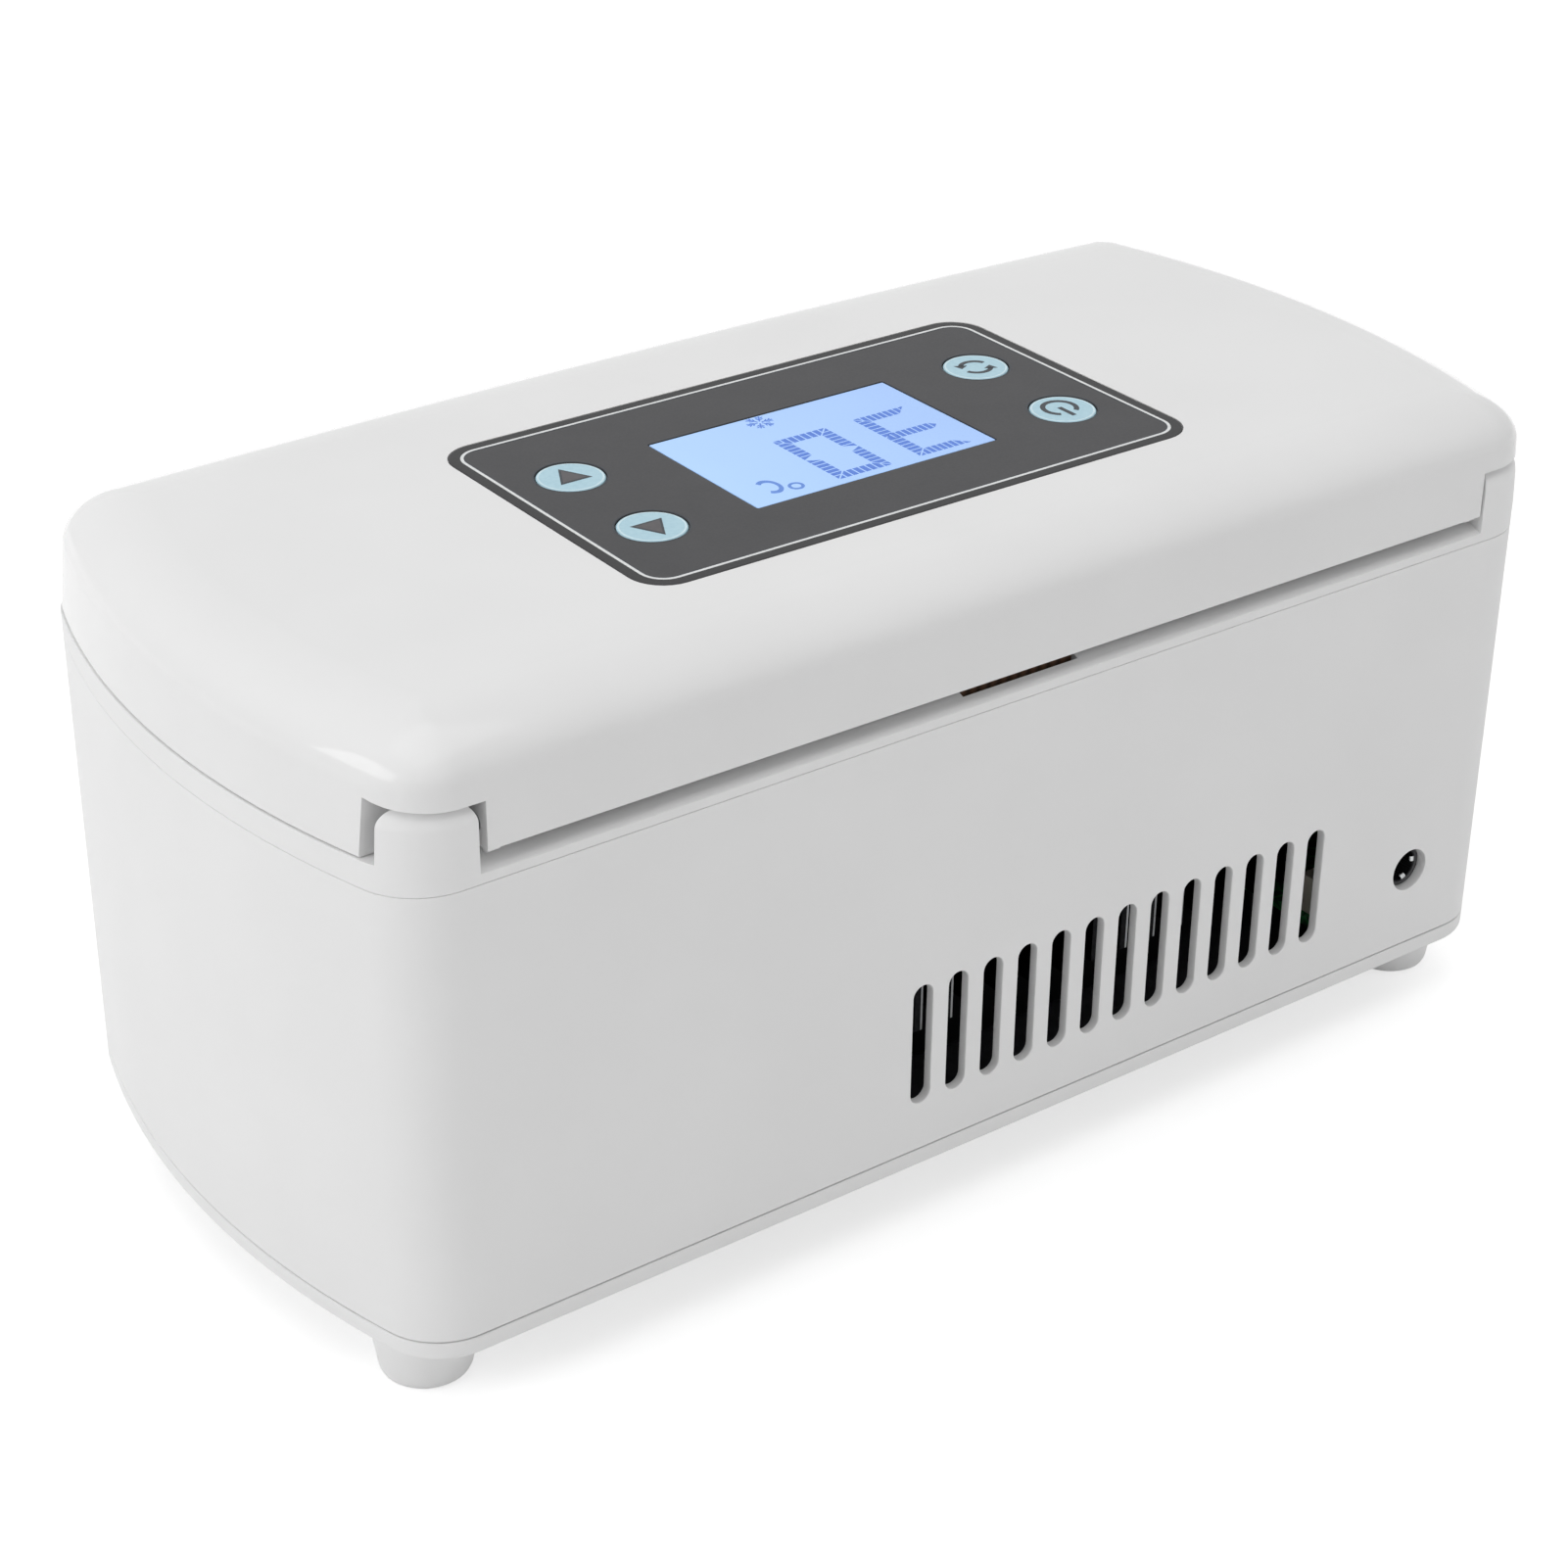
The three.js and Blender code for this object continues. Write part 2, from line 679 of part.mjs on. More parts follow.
function lidLiner() {
  const hingeClear = notchY - lidWall - linerEdgeGap;
  const edge = prism(caseOutline(lidInset + lidWall + linerEdgeGap, plainOutline), linerFoot, linerTop);
  let liner = edge.intersect(block(-beyond, beyond, -beyond, hingeClear, linerFoot - 1, linerTop + 1));
  liner = liner.add(prism(chamberOutline(-plugClearance), plugFoot, linerTop));
  const hollow = prism(chamberOutline(-plugClearance - plugWall), plugFoot + plugWall, linerTop + 1);
  liner = liner.subtract(hollow);
  for (const { x, y } of linerScrews) {
    const head = linerScrewShank.headRadius + screwClearance;
    const bore = linerScrewShank.radius + screwClearance;
    liner = liner.subtract(upright(head, x, y, linerFoot - 1, linerSeat, screwSteps));
    liner = liner.subtract(upright(bore, x, y, linerFoot, linerTop + 1, screwSteps));
  }
  return liner;
}

function lidFoam() {
  const sheet = slab(0, 0, lidFoamLength, lidFoamWidth, lidFoamFoot, lidFoamTop);
  const plug = chamberOutline(-plugClearance - plugWall - fit);
  return sheet.add(prism(plug, plugFoot + plugWall + fit, lidFoamTop));
}

function lidGasket() {
  const inner = chamberWall + gasketMargin;
  const ring = prism(chamberOutline(inner + gasketWidth), collarTop + fit, linerFoot - fit);
  return ring.subtract(prism(chamberOutline(inner), collarTop, linerFoot));
}

// Corner post in plan: two straight inner sides and the case's own corner, drawn in by an inset
function postSection(inset) {
  const centre = rearCornerCentre(cornerRadius);
  const radius = cornerRadius - inset;
  const front = postFrontY + inset;
  const start = Math.asin((front - centre.y) / radius);
  return [
    new THREE.Vector2(postInnerX + inset, front),
    ...arcPoints(centre, radius, start, Math.PI / 2, cornerSteps),
    new THREE.Vector2(postInnerX + inset, rearY - inset),
  ];
}

function hingePost(side) {
  const rings = [{ points: postSection(0), z: collarFoot }];
  for (let i = 0; i <= roundSteps; i += 1) {
    const angle = (i / roundSteps) * (Math.PI / 2);
    const inset = postRound * (1 - Math.cos(angle));
    rings.push({ points: postSection(inset), z: postTop - postRound * (1 - Math.sin(angle)) });
  }
  const holeStart = [postInnerX - 1, hingeY, hingeZ];
  const holeEnd = [postInnerX + pinInPost + fit, hingeY, hingeZ];
  const post = loft(rings).subtract(rod(pinRadius + pinClearance, holeStart, holeEnd, screwSteps));
  return side < 0 ? post.mirror([1, 0, 0]) : post;
}

function collar() {
  const lipOuter = wall + fit;
  const lipInner = lipOuter + collarLipThickness;
  const recessFoot = collarTop - recessDepth;
  let frame = prism(caseOutline(0), collarFoot, collarTop);
  frame = frame.add(caseRing(lipOuter, lipInner, collarFoot - collarLip, collarFoot + 1, plainOutline));
  frame = frame.subtract(block(-postInnerX, postInnerX, rearY - recessReach, beyond, recessFoot, lidTop));
  const mouth = chamberOutline(chamberWall + fit);
  const rebate = chamberOutline(chamberWall + chamberFlange + fit);
  frame = frame.subtract(prism(mouth, collarFoot - 1, collarTop + 1));
  frame = frame.subtract(prism(rebate, collarTop - flangeThickness - 2 * fit, collarTop + 1));
  const slotHalf = cableWidth / 2 + cableSlotGap;
  const slotFront = hingeY - cableThickness / 2 - cableSlotGap;
  const slotRear = hingeY + cableThickness / 2 + cableSlotGap;
  const slot = block(cableX - slotHalf, cableX + slotHalf, slotFront, slotRear, 0, collarTop);
  frame = frame.subtract(slot);
  const scoopRadius = ((scoopWidth / 2) ** 2 + scoopDepth ** 2) / (2 * scoopDepth);
  const scoopY = scoopDepth - scoopRadius - rearY;
  frame = frame.subtract(upright(scoopRadius, 0, scoopY, collarFoot - 1, collarTop + 1, scoopSteps));
  return joined([frame, hingePost(-1), hingePost(1)]);
}

function ventOutline(x) {
  const radius = ventWidth / 2;
  const reach = ventHeight / 2 - radius;
  return [
    ...arcPoints(new THREE.Vector2(x, ventCentreZ + reach), radius, 0, Math.PI, ventSteps),
    ...arcPoints(new THREE.Vector2(x, ventCentreZ - reach), radius, Math.PI, 2 * Math.PI, ventSteps),
  ];
}

const feet = [
  { name: 'front_left', x: -footX, y: footFrontY },
  { name: 'front_right', x: footX, y: footFrontY },
  { name: 'rear_left', x: -footX, y: footRearY },
  { name: 'rear_right', x: footX, y: footRearY },
];
const baseScrewShank = { headRadius: 3, headHeight: 1.8, radius: 1.5, length: 20 };
const baseScrewSeat = footBoreDepth - fit;

function bodyShell() {
  let shell = caseRing(0, wall, bodyFoot, bodyTop, fineOutline);
  const bossFoot = baseFloor + fit;
  const bossTop = bossFoot + bossHeight;
  const boreTop = baseScrewSeat + baseScrewShank.length + fit;
  for (const { x, y } of feet) {
    const wallY = y > 0 ? rearY - wall / 2 : frontCornerY + wall / 2 + seam;
    const ribY = (y + wallY) / 2;
    const rib = slab(x, ribY, ribWidth, Math.abs(wallY - y), bodyFoot, bossTop);
    const bore = upright(baseScrewShank.radius + screwClearance, x, y, 0, boreTop, screwSteps);
    const boss = upright(bossRadius, x, y, bossFoot, bossTop, screwSteps).add(rib);
    shell = shell.add(boss.subtract(bore));
  }
  for (let i = 0; i < ventCount; i += 1) {
    const x = coolX + (i - (ventCount - 1) / 2) * ventPitch;
    shell = shell.subtract(prismAlongY(ventOutline(x), rearY - 2 * wall, rearY + wall));
  }
  const hole = rod(jackHoleRadius, [jackX, rearY - 2 * wall, jackZ], [jackX, rearY + wall, jackZ]);
  return shell.subtract(hole);
}

const boardX = (boardLeftX + boardRightX) / 2;
const boardRearY = rearY - wall - boardRearGap;
const boardTop = boardZ + boardThickness;
const standoffs = [
  { name: 'front_left', x: boardLeftX + standoffInset, y: boardFrontY + standoffInset },
  { name: 'front_right', x: boardRightX - standoffInset, y: boardFrontY + standoffInset },
  { name: 'rear_left', x: boardLeftX + standoffInset, y: standoffRearY },
  { name: 'rear_right', x: boardRightX - standoffInset, y: standoffRearY },
];
const boardScrewShank = { headRadius: 2.4, headHeight: 1.3, radius: 1.2, length: 7 };

function baseCover() {
  const rings = [];
  for (let i = 0; i <= 3; i += 1) {
    const angle = (i / 3) * (Math.PI / 2);
    const inset = baseEdgeRound * (1 - Math.sin(angle));
    rings.push({ points: caseOutline(inset), z: footHeight + baseEdgeRound * (1 - Math.cos(angle)) });
  }
  rings.push({ points: caseOutline(0), z: baseTop });
  let cover = loft(rings).subtract(prism(caseOutline(wall, plainOutline), baseFloor, baseTop + 1));
  for (const { x, y } of standoffs) {
    const post = upright(standoffRadius, x, y, footHeight + fit, boardZ - fit, screwSteps);
    const bore = upright(boardScrewShank.radius + screwClearance, x, y, baseFloor, boardZ, screwSteps);
    cover = cover.add(post).subtract(bore);
  }
  for (const { x, y } of feet) {
    cover = cover.subtract(upright(baseScrewShank.radius + screwClearance, x, y, 0, baseTop, screwSteps));
  }
  for (let i = 0; i < grilleSlots; i += 1) {
    const y = fanY + (i - (grilleSlots - 1) / 2) * grillePitch;
    cover = cover.subtract(slab(coolX, y, grilleSlotLength, grilleSlotWidth, 0, baseTop));
  }
  return cover;
}

function foot({ x, y }) {
  const top = footHeight - fit;
  const bore = baseScrewShank.radius + screwClearance;
  const profile = [
    [bore, footBoreDepth],
    [footBoreRadius, footBoreDepth],
    [footBoreRadius, 0],
    [footBottomRadius - footEdgeRound, 0],
    [footBottomRadius, footEdgeRound],
    [footTopRadius, top],
    [bore, top],
    [bore, footBoreDepth],
  ];
  return turned(profile, x, y, 0);
}

// Levels of the cold stack, from the fan up; the chamber takes the height that is left
const fanFoot = baseFloor + fanFloorGap;
const fanTop = fanFoot + fanDepth;
const finFoot = fanTop + fit;
const sinkTop = finFoot + finHeight + sinkPlate;
const peltierFoot = sinkTop + fit;
const peltierTop = peltierFoot + peltierThickness;
const coldBlockFoot = peltierTop + fit;
const coldBlockTop = coldBlockFoot + coldBlockHeight;
const chamberFoot = coldBlockTop + fit;
const chamberTop = collarTop - seam / 2;
const foamFoot = chamberFoot - foamFloor;

function chamberLiner() {
  const flangeFoot = chamberTop - flangeThickness;
  let tub = prism(chamberOutline(chamberWall), chamberFoot, chamberTop);
  tub = tub.add(prism(chamberOutline(chamberWall + chamberFlange), flangeFoot, chamberTop));
  return tub.subtract(prism(chamberOutline(0), chamberFoot + chamberWall, chamberTop + 1));
}

function insulation() {
  const inset = wall + fit + collarLipThickness + foamGap;
  let foam = prism(caseOutline(inset, plainOutline), foamFoot, collarFoot - fit);
  foam = foam.subtract(prism(chamberOutline(chamberWall + fit), chamberFoot - fit, collarFoot));
  const pocket = coldBlockSize + 2 * fit;
  return foam.subtract(slab(coolX, 0, pocket, pocket, foamFoot - 1, chamberFoot));
}

const sensorZ = coldBlockFoot + coldBlockHeight / 2;
const sensorEnd = coolX + coldBlockSize / 2 - fit;

function coldBlock() {
  const body = slab(coolX, 0, coldBlockSize, coldBlockSize, coldBlockFoot, coldBlockTop);
  const start = [sensorEnd - sensorLength - fit, 0, sensorZ];
  return body.subtract(rod(sensorRadius + fit, start, [sensorEnd + 1, 0, sensorZ], screwSteps));
}

const fanScrews = fourCorners(coolX, fanY, fanHolePitch, fanHolePitch);
const fanScrewShank = { headRadius: 2.8, headHeight: 1.4, radius: 1.5, length: fanDepth + fanScrewReach };

function heatSink() {
  const left = coolX - sinkLength / 2;
  const plateFoot = sinkTop - sinkPlate;
  const pitch = (sinkLength - finThickness) / (finCount - 1);
  const points = [];
  for (let i = 0; i < finCount; i += 1) {
    const x = left + i * pitch;
    if (i > 0) points.push(new THREE.Vector2(x, plateFoot));
    points.push(new THREE.Vector2(x, finFoot), new THREE.Vector2(x + finThickness, finFoot));
    if (i < finCount - 1) points.push(new THREE.Vector2(x + finThickness, plateFoot));
  }
  points.push(new THREE.Vector2(left + sinkLength, sinkTop), new THREE.Vector2(left, sinkTop));
  let sink = prismAlongY(points, sinkFrontY, sinkRearY);
  for (const { x, y } of fanScrews) {
    const reach = fanFoot + fanScrewShank.length + fit;
    sink = sink.subtract(upright(fanScrewShank.radius + screwClearance, x, y, fanFoot, reach, screwSteps));
  }
  return sink;
}

const motorTop = fanFoot + fanMotorPlate;

function fanFrame() {
  let frame = prism(roundedRectangle(fanSize, fanSize, fanCorner, coolX, fanY), fanFoot, fanTop);
  frame = frame.subtract(upright(fanBore, coolX, fanY, fanFoot - 1, fanTop + 1));
  frame = frame.add(upright(fanHubRadius, coolX, fanY, fanFoot, motorTop));
  const span = 2 * fanBore + fanSpokeWidth;
  frame = frame.add(slab(coolX, fanY, span, fanSpokeWidth, fanFoot, motorTop));
  frame = frame.add(slab(coolX, fanY, fanSpokeWidth, span, fanFoot, motorTop));
  const bore = fanScrewShank.radius + screwClearance;
  for (const { x, y } of fanScrews) {
    frame = frame.subtract(upright(bore, x, y, fanFoot - 1, fanTop + 1, screwSteps));
  }
  return frame;
}

function fanRotor() {
  const foot = motorTop + fit;
  const top = fanTop - 2 * fit;
  const length = fanBore - fanTipGap - fanHubRadius + 1;
  let rotor = upright(fanHubRadius, 0, 0, foot, top);
  for (let i = 0; i < fanBladeCount; i += 1) {
    const blade = new THREE.BoxGeometry(length, fanBladeThickness, fanBladeChord);
    blade.rotateX(fanBladePitch);
    blade.translate(fanHubRadius - 1 + length / 2, 0, (foot + top) / 2);
    blade.rotateZ((i / fanBladeCount) * 2 * Math.PI);
    rotor = rotor.add(solid(blade));
  }
  return rotor.translate([coolX, fanY, 0]);
}

function controlBoard() {
  let board = block(boardLeftX, boardRightX, boardFrontY, boardRearY, boardZ, boardTop);
  const bore = boardScrewShank.radius + screwClearance;
  for (const { x, y } of standoffs) {
    board = board.subtract(upright(bore, x, y, boardZ - 1, boardTop + 1, screwSteps));
  }
  return board;
}

// A board screw is driven downwards, so its head is above the board
function boardScrew({ x, y }) {
  const face = boardTop + fit;
  const shank = upright(boardScrewShank.radius, x, y, face - boardScrewShank.length, face, screwSteps);
  const top = face + boardScrewShank.headHeight;
  return shank.add(upright(boardScrewShank.headRadius, x, y, face, top, screwSteps));
}

const jackFace = rearY - jackSetback;
const jackBack = boardRearY - jackLength;
const jackBoreEnd = jackFace - jackBoreDepth;

function powerJack() {
  const foot = boardTop + fit;
  const housing = slab(jackX, jackBack + jackLength / 2, jackWidth, jackLength, foot, foot + jackHeight);
  const nose = rod(jackHoleRadius - fit, [jackX, jackBack, jackZ], [jackX, jackFace, jackZ]);
  const bore = rod(jackBoreRadius, [jackX, jackBoreEnd, jackZ], [jackX, jackFace + 1, jackZ]);
  const rootStart = [jackX, jackBoreEnd - jackPinRoot, jackZ];
  const root = rod(jackPinRadius + pinClearance, rootStart, [jackX, jackFace, jackZ], screwSteps);
  return joined([housing, nose]).subtract(bore).subtract(root);
}

function jackPin() {
  const start = jackBoreEnd - jackPinRoot + fit;
  return rod(jackPinRadius, [jackX, start, jackZ], [jackX, start + jackPinLength, jackZ], screwSteps);
}

// Flat cable in the body: up from the control board, along the rear wall, then up through the collar.
// It ends below the arc that the lid's lower rear edge sweeps.
const lidSweep = Math.hypot(rearY - lidInset - hingeY, hingeRise);
const cableTop = hingeZ - lidSweep - fit;
const cableFront = hingeY - cableThickness / 2;
const cableRear = hingeY + cableThickness / 2;
const cableTailX = boardRightX - 1;

function bodyCable() {
  const riserLeft = cableX - cableWidth / 2;
  const riserRight = cableX + cableWidth / 2;
  const tailLeft = cableTailX - cableTailWidth;
  const corners = [
    [tailLeft, cableEndZ],
    [cableTailX, cableEndZ],
    [cableTailX, cableRunZ],
    [riserRight, cableRunZ],
    [riserRight, cableTop],
    [riserLeft, cableTop],
    [riserLeft, cableRunZ + cableRunWidth],
    [tailLeft, cableRunZ + cableRunWidth],
  ];
  return prismAlongY(corners.map(([x, z]) => new THREE.Vector2(x, z)), cableFront, cableRear);
}

// Flat cable in the lid: up inside the rear wall, over the foam and under the display board
function lidCable() {
  const top = displayBoardFoot - fit;
  const bendRadius = top - lidFoamTop;
  const reach = panelOffset + displayBoardWidth / 2 - displayScrewInset;
  const centre = new THREE.Vector2(cableRear - bendRadius, top - bendRadius);
  const outer = arcPoints(centre, bendRadius, 0, Math.PI / 2, cornerSteps);
  const inner = arcPoints(centre, bendRadius - cableThickness, Math.PI / 2, 0, cornerSteps);
  const points = [
    new THREE.Vector2(cableFront, lidEdge + cableEdgeGap),
    new THREE.Vector2(cableRear, lidEdge + cableEdgeGap),
    ...outer,
    new THREE.Vector2(reach, top),
    new THREE.Vector2(reach, top - cableThickness),
    ...inner,
  ];
  return prismAlongX(points, cableX - cableWidth / 2, cableX + cableWidth / 2);
}

function cableConnector() {
  const foot = boardTop + fit;
  const rear = cableFront - fit;
  const left = cableTailX - cableTailWidth;
  return block(left, cableTailX, rear - connectorDepth, rear, foot, foot + connectorHeight);
}

// Assembly
const part = new THREE.Group();
const lid = new THREE.Group();
const body = new THREE.Group();
part.add(lid, body);

addPiece(lid, 'lid_shell', lidShell(), 'casing');
addPiece(lid, 'keypad_overlay', keypadOverlay(), 'film');
addPiece(lid, 'lcd_module', lcdModule(), 'lcd');
addPiece(lid, 'lcd_backlight', backlight(), 'diffuser');
addPiece(lid, 'display_board', displayBoard(), 'board');
for (const place of keyPlaces) {
  addPiece(lid, place.name, panelKey(place), 'key');
  addPiece(lid, place.name.replace('key', 'switch'), tactSwitch(place), 'black');
}
for (const place of displayScrews) {
  const fastener = screw(place, displayBoardFoot - fit, displayScrewShank);
  addPiece(lid, `display_screw_${place.name}`, fastener, 'steel');
}
addPiece(lid, 'lid_foam', lidFoam(), 'foam');
addPiece(lid, 'lid_liner', lidLiner(), 'casing');
for (const place of linerScrews) {
  addPiece(lid, `liner_screw_${place.name}`, screw(place, linerSeat - fit, linerScrewShank), 'steel');
}
addPiece(lid, 'lid_gasket', lidGasket(), 'rubber');
addPiece(lid, 'lid_cable', lidCable(), 'cable');

addPiece(body, 'collar', collar(), 'casing');
addPiece(body, 'hinge_pin_left', hingePin(-1), 'steel');
addPiece(body, 'hinge_pin_right', hingePin(1), 'steel');
addPiece(body, 'body_shell', bodyShell(), 'casing');
addPiece(body, 'base_cover', baseCover(), 'casing');
for (const place of feet) {
  addPiece(body, `foot_${place.name}`, foot(place), 'casing');
  addPiece(body, `base_screw_${place.name}`, screw(place, baseScrewSeat, baseScrewShank), 'steel');
}
addPiece(body, 'chamber_liner', chamberLiner(), 'aluminium');
addPiece(body, 'insulation_foam', insulation(), 'foam');
addPiece(body, 'cold_block', coldBlock(), 'aluminium');
const sensor = rod(sensorRadius, [sensorEnd - sensorLength, 0, sensorZ], [sensorEnd, 0, sensorZ], screwSteps);
addPiece(body, 'temperature_sensor', sensor, 'black');
const peltier = slab(coolX, 0, peltierSize, peltierSize, peltierFoot, peltierTop);
addPiece(body, 'thermoelectric_module', peltier, 'ceramic');
addPiece(body, 'heat_sink', heatSink(), 'aluminium');
addPiece(body, 'fan_frame', fanFrame(), 'black');
addPiece(body, 'fan_rotor', fanRotor(), 'black');
for (const place of fanScrews) {
  addPiece(body, `fan_screw_${place.name}`, screw(place, fanFoot - fit, fanScrewShank), 'steel');
}
addPiece(body, 'control_board', controlBoard(), 'board');
for (const place of standoffs.filter(({ name }) => name === 'front_left' || name === 'rear_right')) {
  addPiece(body, `board_screw_${place.name}`, boardScrew(place), 'steel');
}
addPiece(body, 'power_jack', powerJack(), 'black');
addPiece(body, 'power_jack_pin', jackPin(), 'steel');
const partsFoot = boardTop + fit;
const partsY = (boardFrontY + standoffRearY) / 2;
const capacitorX = boardX + partsGap / 2 + capacitorRadius;
const capacitor = upright(capacitorRadius, capacitorX, partsY, partsFoot, partsFoot + capacitorHeight);
addPiece(body, 'capacitor', capacitor, 'black');
const chipX = boardX - (partsGap + chipSize) / 2;
const chip = slab(chipX, partsY, chipSize, chipSize, partsFoot, partsFoot + chipThickness);
addPiece(body, 'controller_chip', chip, 'black');
addPiece(body, 'cable_connector', cableConnector(), 'ceramic');
addPiece(body, 'body_cable', bodyCable(), 'cable');

export default part;
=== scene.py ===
# %% [markdown]
# # Insulin cooling case
# The real object is a small powered cool box with a hinged lid, a display panel and a fan-cooled base.
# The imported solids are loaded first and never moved. Every piece made here is built in place around
# them, in the same frame: +X along the case, +Y to the hinge and the vents, +Z up. Sizes are in
# millimetres and are turned to metres where a mesh is made.

# %% Load the fixed frame
import json
from math import atan2, cos, pi, radians, sin, sqrt

import bmesh
import bpy
from mathutils import Matrix, Vector

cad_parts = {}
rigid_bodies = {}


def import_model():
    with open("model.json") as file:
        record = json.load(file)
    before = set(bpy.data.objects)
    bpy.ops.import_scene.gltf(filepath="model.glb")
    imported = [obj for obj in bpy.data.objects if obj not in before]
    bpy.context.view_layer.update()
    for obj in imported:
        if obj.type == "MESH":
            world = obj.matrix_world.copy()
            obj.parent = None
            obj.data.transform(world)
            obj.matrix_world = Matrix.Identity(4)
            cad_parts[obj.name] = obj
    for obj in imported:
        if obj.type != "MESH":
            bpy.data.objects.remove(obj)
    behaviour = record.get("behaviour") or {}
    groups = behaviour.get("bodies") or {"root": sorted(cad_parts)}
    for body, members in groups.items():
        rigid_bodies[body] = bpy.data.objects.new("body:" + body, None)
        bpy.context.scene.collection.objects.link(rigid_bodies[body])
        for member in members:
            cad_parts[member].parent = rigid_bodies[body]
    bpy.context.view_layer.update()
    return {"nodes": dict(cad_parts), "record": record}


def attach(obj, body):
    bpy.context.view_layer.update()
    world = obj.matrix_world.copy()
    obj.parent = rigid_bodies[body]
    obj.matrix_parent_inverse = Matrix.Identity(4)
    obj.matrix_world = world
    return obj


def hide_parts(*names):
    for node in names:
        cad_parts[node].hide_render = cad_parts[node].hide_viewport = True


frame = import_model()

MM = 0.001
nodes = frame["nodes"]
scene = bpy.context.scene

# %% [markdown]
# ## Camera
# The camera stands where the photographer stood: behind the case, out towards its +X end and a little
# under thirty degrees up. Its three axes are worked out from an azimuth, an elevation and a slight
# roll, because that keeps the numbers readable.

# %% Camera
CAMERA_PLACE = Vector((297.846, 398.22, 323.849)) * MM
CAMERA_AZIMUTH = radians(143.6717)
CAMERA_ELEVATION = radians(28.8423)
CAMERA_ROLL = radians(0.5820)
CAMERA_LENS_MM, CAMERA_SENSOR_MM = 75.258, 36.0
CAMERA_NEAR = 0.01

flat_right = Vector((cos(CAMERA_AZIMUTH), sin(CAMERA_AZIMUTH), 0))
back = Vector((flat_right.y * cos(CAMERA_ELEVATION), -flat_right.x * cos(CAMERA_ELEVATION),
               sin(CAMERA_ELEVATION)))
flat_up = back.cross(flat_right)
right = flat_right * cos(CAMERA_ROLL) + flat_up * sin(CAMERA_ROLL)
up = flat_up * cos(CAMERA_ROLL) - flat_right * sin(CAMERA_ROLL)
camera_data = bpy.data.cameras.new("camera")
camera_data.lens = CAMERA_LENS_MM
camera_data.sensor_width = CAMERA_SENSOR_MM
camera_data.clip_start = CAMERA_NEAR
camera = bpy.data.objects.new("camera", camera_data)
camera.matrix_world = Matrix.Translation(CAMERA_PLACE) @ Matrix((right, up, back)).transposed().to_4x4()
scene.collection.objects.link(camera)
scene.camera = camera
print("camera at", [round(v, 3) for v in CAMERA_PLACE])

# %% [markdown]
# ## Mesh helpers
# Most pieces of a moulded case are outlines stacked in height, so one function skins rows of points.
# Cuts such as vents are made with booleans, and every moulded edge is then softened by a small bevel,
# because a real edge always has a radius that catches the light.

# %% Mesh helpers
SAME_POINT, TINY_EDGE, TIP_ROW = 1e-7, 2e-6, 1e-6  # metres


def new_piece(name, bm):
    """Turns a finished bmesh into a linked object."""
    bmesh.ops.remove_doubles(bm, verts=bm.verts, dist=SAME_POINT)
    bmesh.ops.recalc_face_normals(bm, faces=bm.faces)
    mesh = bpy.data.meshes.new(name)
    bm.to_mesh(mesh)
    bm.free()
    piece = bpy.data.objects.new(name, mesh)
    scene.collection.objects.link(piece)
    return piece


def skin(name, rows, loop=False):
    """Joins rows of 3-D points (mm) with faces; an open stack gets a cap at each end that isn't a tip."""
    bm = bmesh.new()
    made = [[bm.verts.new(Vector(point) * MM) for point in row] for row in rows]
    pairs = list(zip(made, made[1:])) + ([(made[-1], made[0])] if loop else [])
    for low, high in pairs:
        for i in range(len(low)):
            j = (i + 1) % len(low)
            bm.faces.new((low[i], low[j], high[j], high[i]))
    for row in ([] if loop else (made[0], made[-1])):
        if (row[0].co - row[len(row) // 2].co).length > TIP_ROW:
            bm.faces.new(row)
    return new_piece(name, bm)


def loft(name, rings, loop=False):
    """Skins flat outlines, each given with its height."""
    return skin(name, [[(x, y, z) for x, y in points] for points, z in rings], loop)


def slab(name, plan, low, high):
    """One flat outline drawn up between two heights."""
    return loft(name, [(plan, low), (plan, high)])


def drawn_along_x(name, profile, low, high):
    """A profile of (y, z) drawn out along X."""
    return skin(name, [[(x, y, z) for y, z in profile] for x in (low, high)])


def turn(name, profile, place, axis="Z", steps=64, ring=False):
    """Turns a profile of (radius, height) about an axis through place; a ring profile closes on itself."""
    rows = []
    for radius, height in profile:
        row = []
        for i in range(steps):
            angle = 2 * pi * i / steps
            u, v = radius * cos(angle), radius * sin(angle)
            point = {"X": (height, u, v), "Y": (v, height, u), "Z": (u, v, height)}[axis]
            row.append([p + q for p, q in zip(point, place)])
        rows.append(row)
    return skin(name, rows, ring)


def rod(name, radius, low, high, place, axis="Z", steps=64):
    """A plain cylinder between two heights on its axis."""
    return turn(name, [(0, low), (radius, low), (radius, high), (0, high)], place, axis, steps)


def block(name, low, high):
    """A square-cornered cutter."""
    corners = [(low[0], low[1]), (high[0], low[1]), (high[0], high[1]), (low[0], high[1])]
    return slab(name, corners, low[2], high[2])


def settle(piece):
    """Bakes a piece's modifiers into its mesh."""
    baked = bpy.data.meshes.new_from_object(piece.evaluated_get(bpy.context.evaluated_depsgraph_get()))
    old = piece.data
    piece.modifiers.clear()
    piece.data = baked
    bpy.data.meshes.remove(old)


def gathered(name, pieces):
    """Puts several separate meshes into one object."""
    bm = bmesh.new()
    for piece in pieces:
        bm.from_mesh(piece.data)
        bpy.data.objects.remove(piece)
    return new_piece(name, bm)


def cut(piece, tool, operation="DIFFERENCE"):
    """Cuts with a tool, or joins it with UNION, and removes the tool."""
    modifier = piece.modifiers.new("cut", "BOOLEAN")
    modifier.operation = operation
    modifier.solver = "EXACT"
    modifier.object = tool
    settle(piece)
    bpy.data.objects.remove(tool)


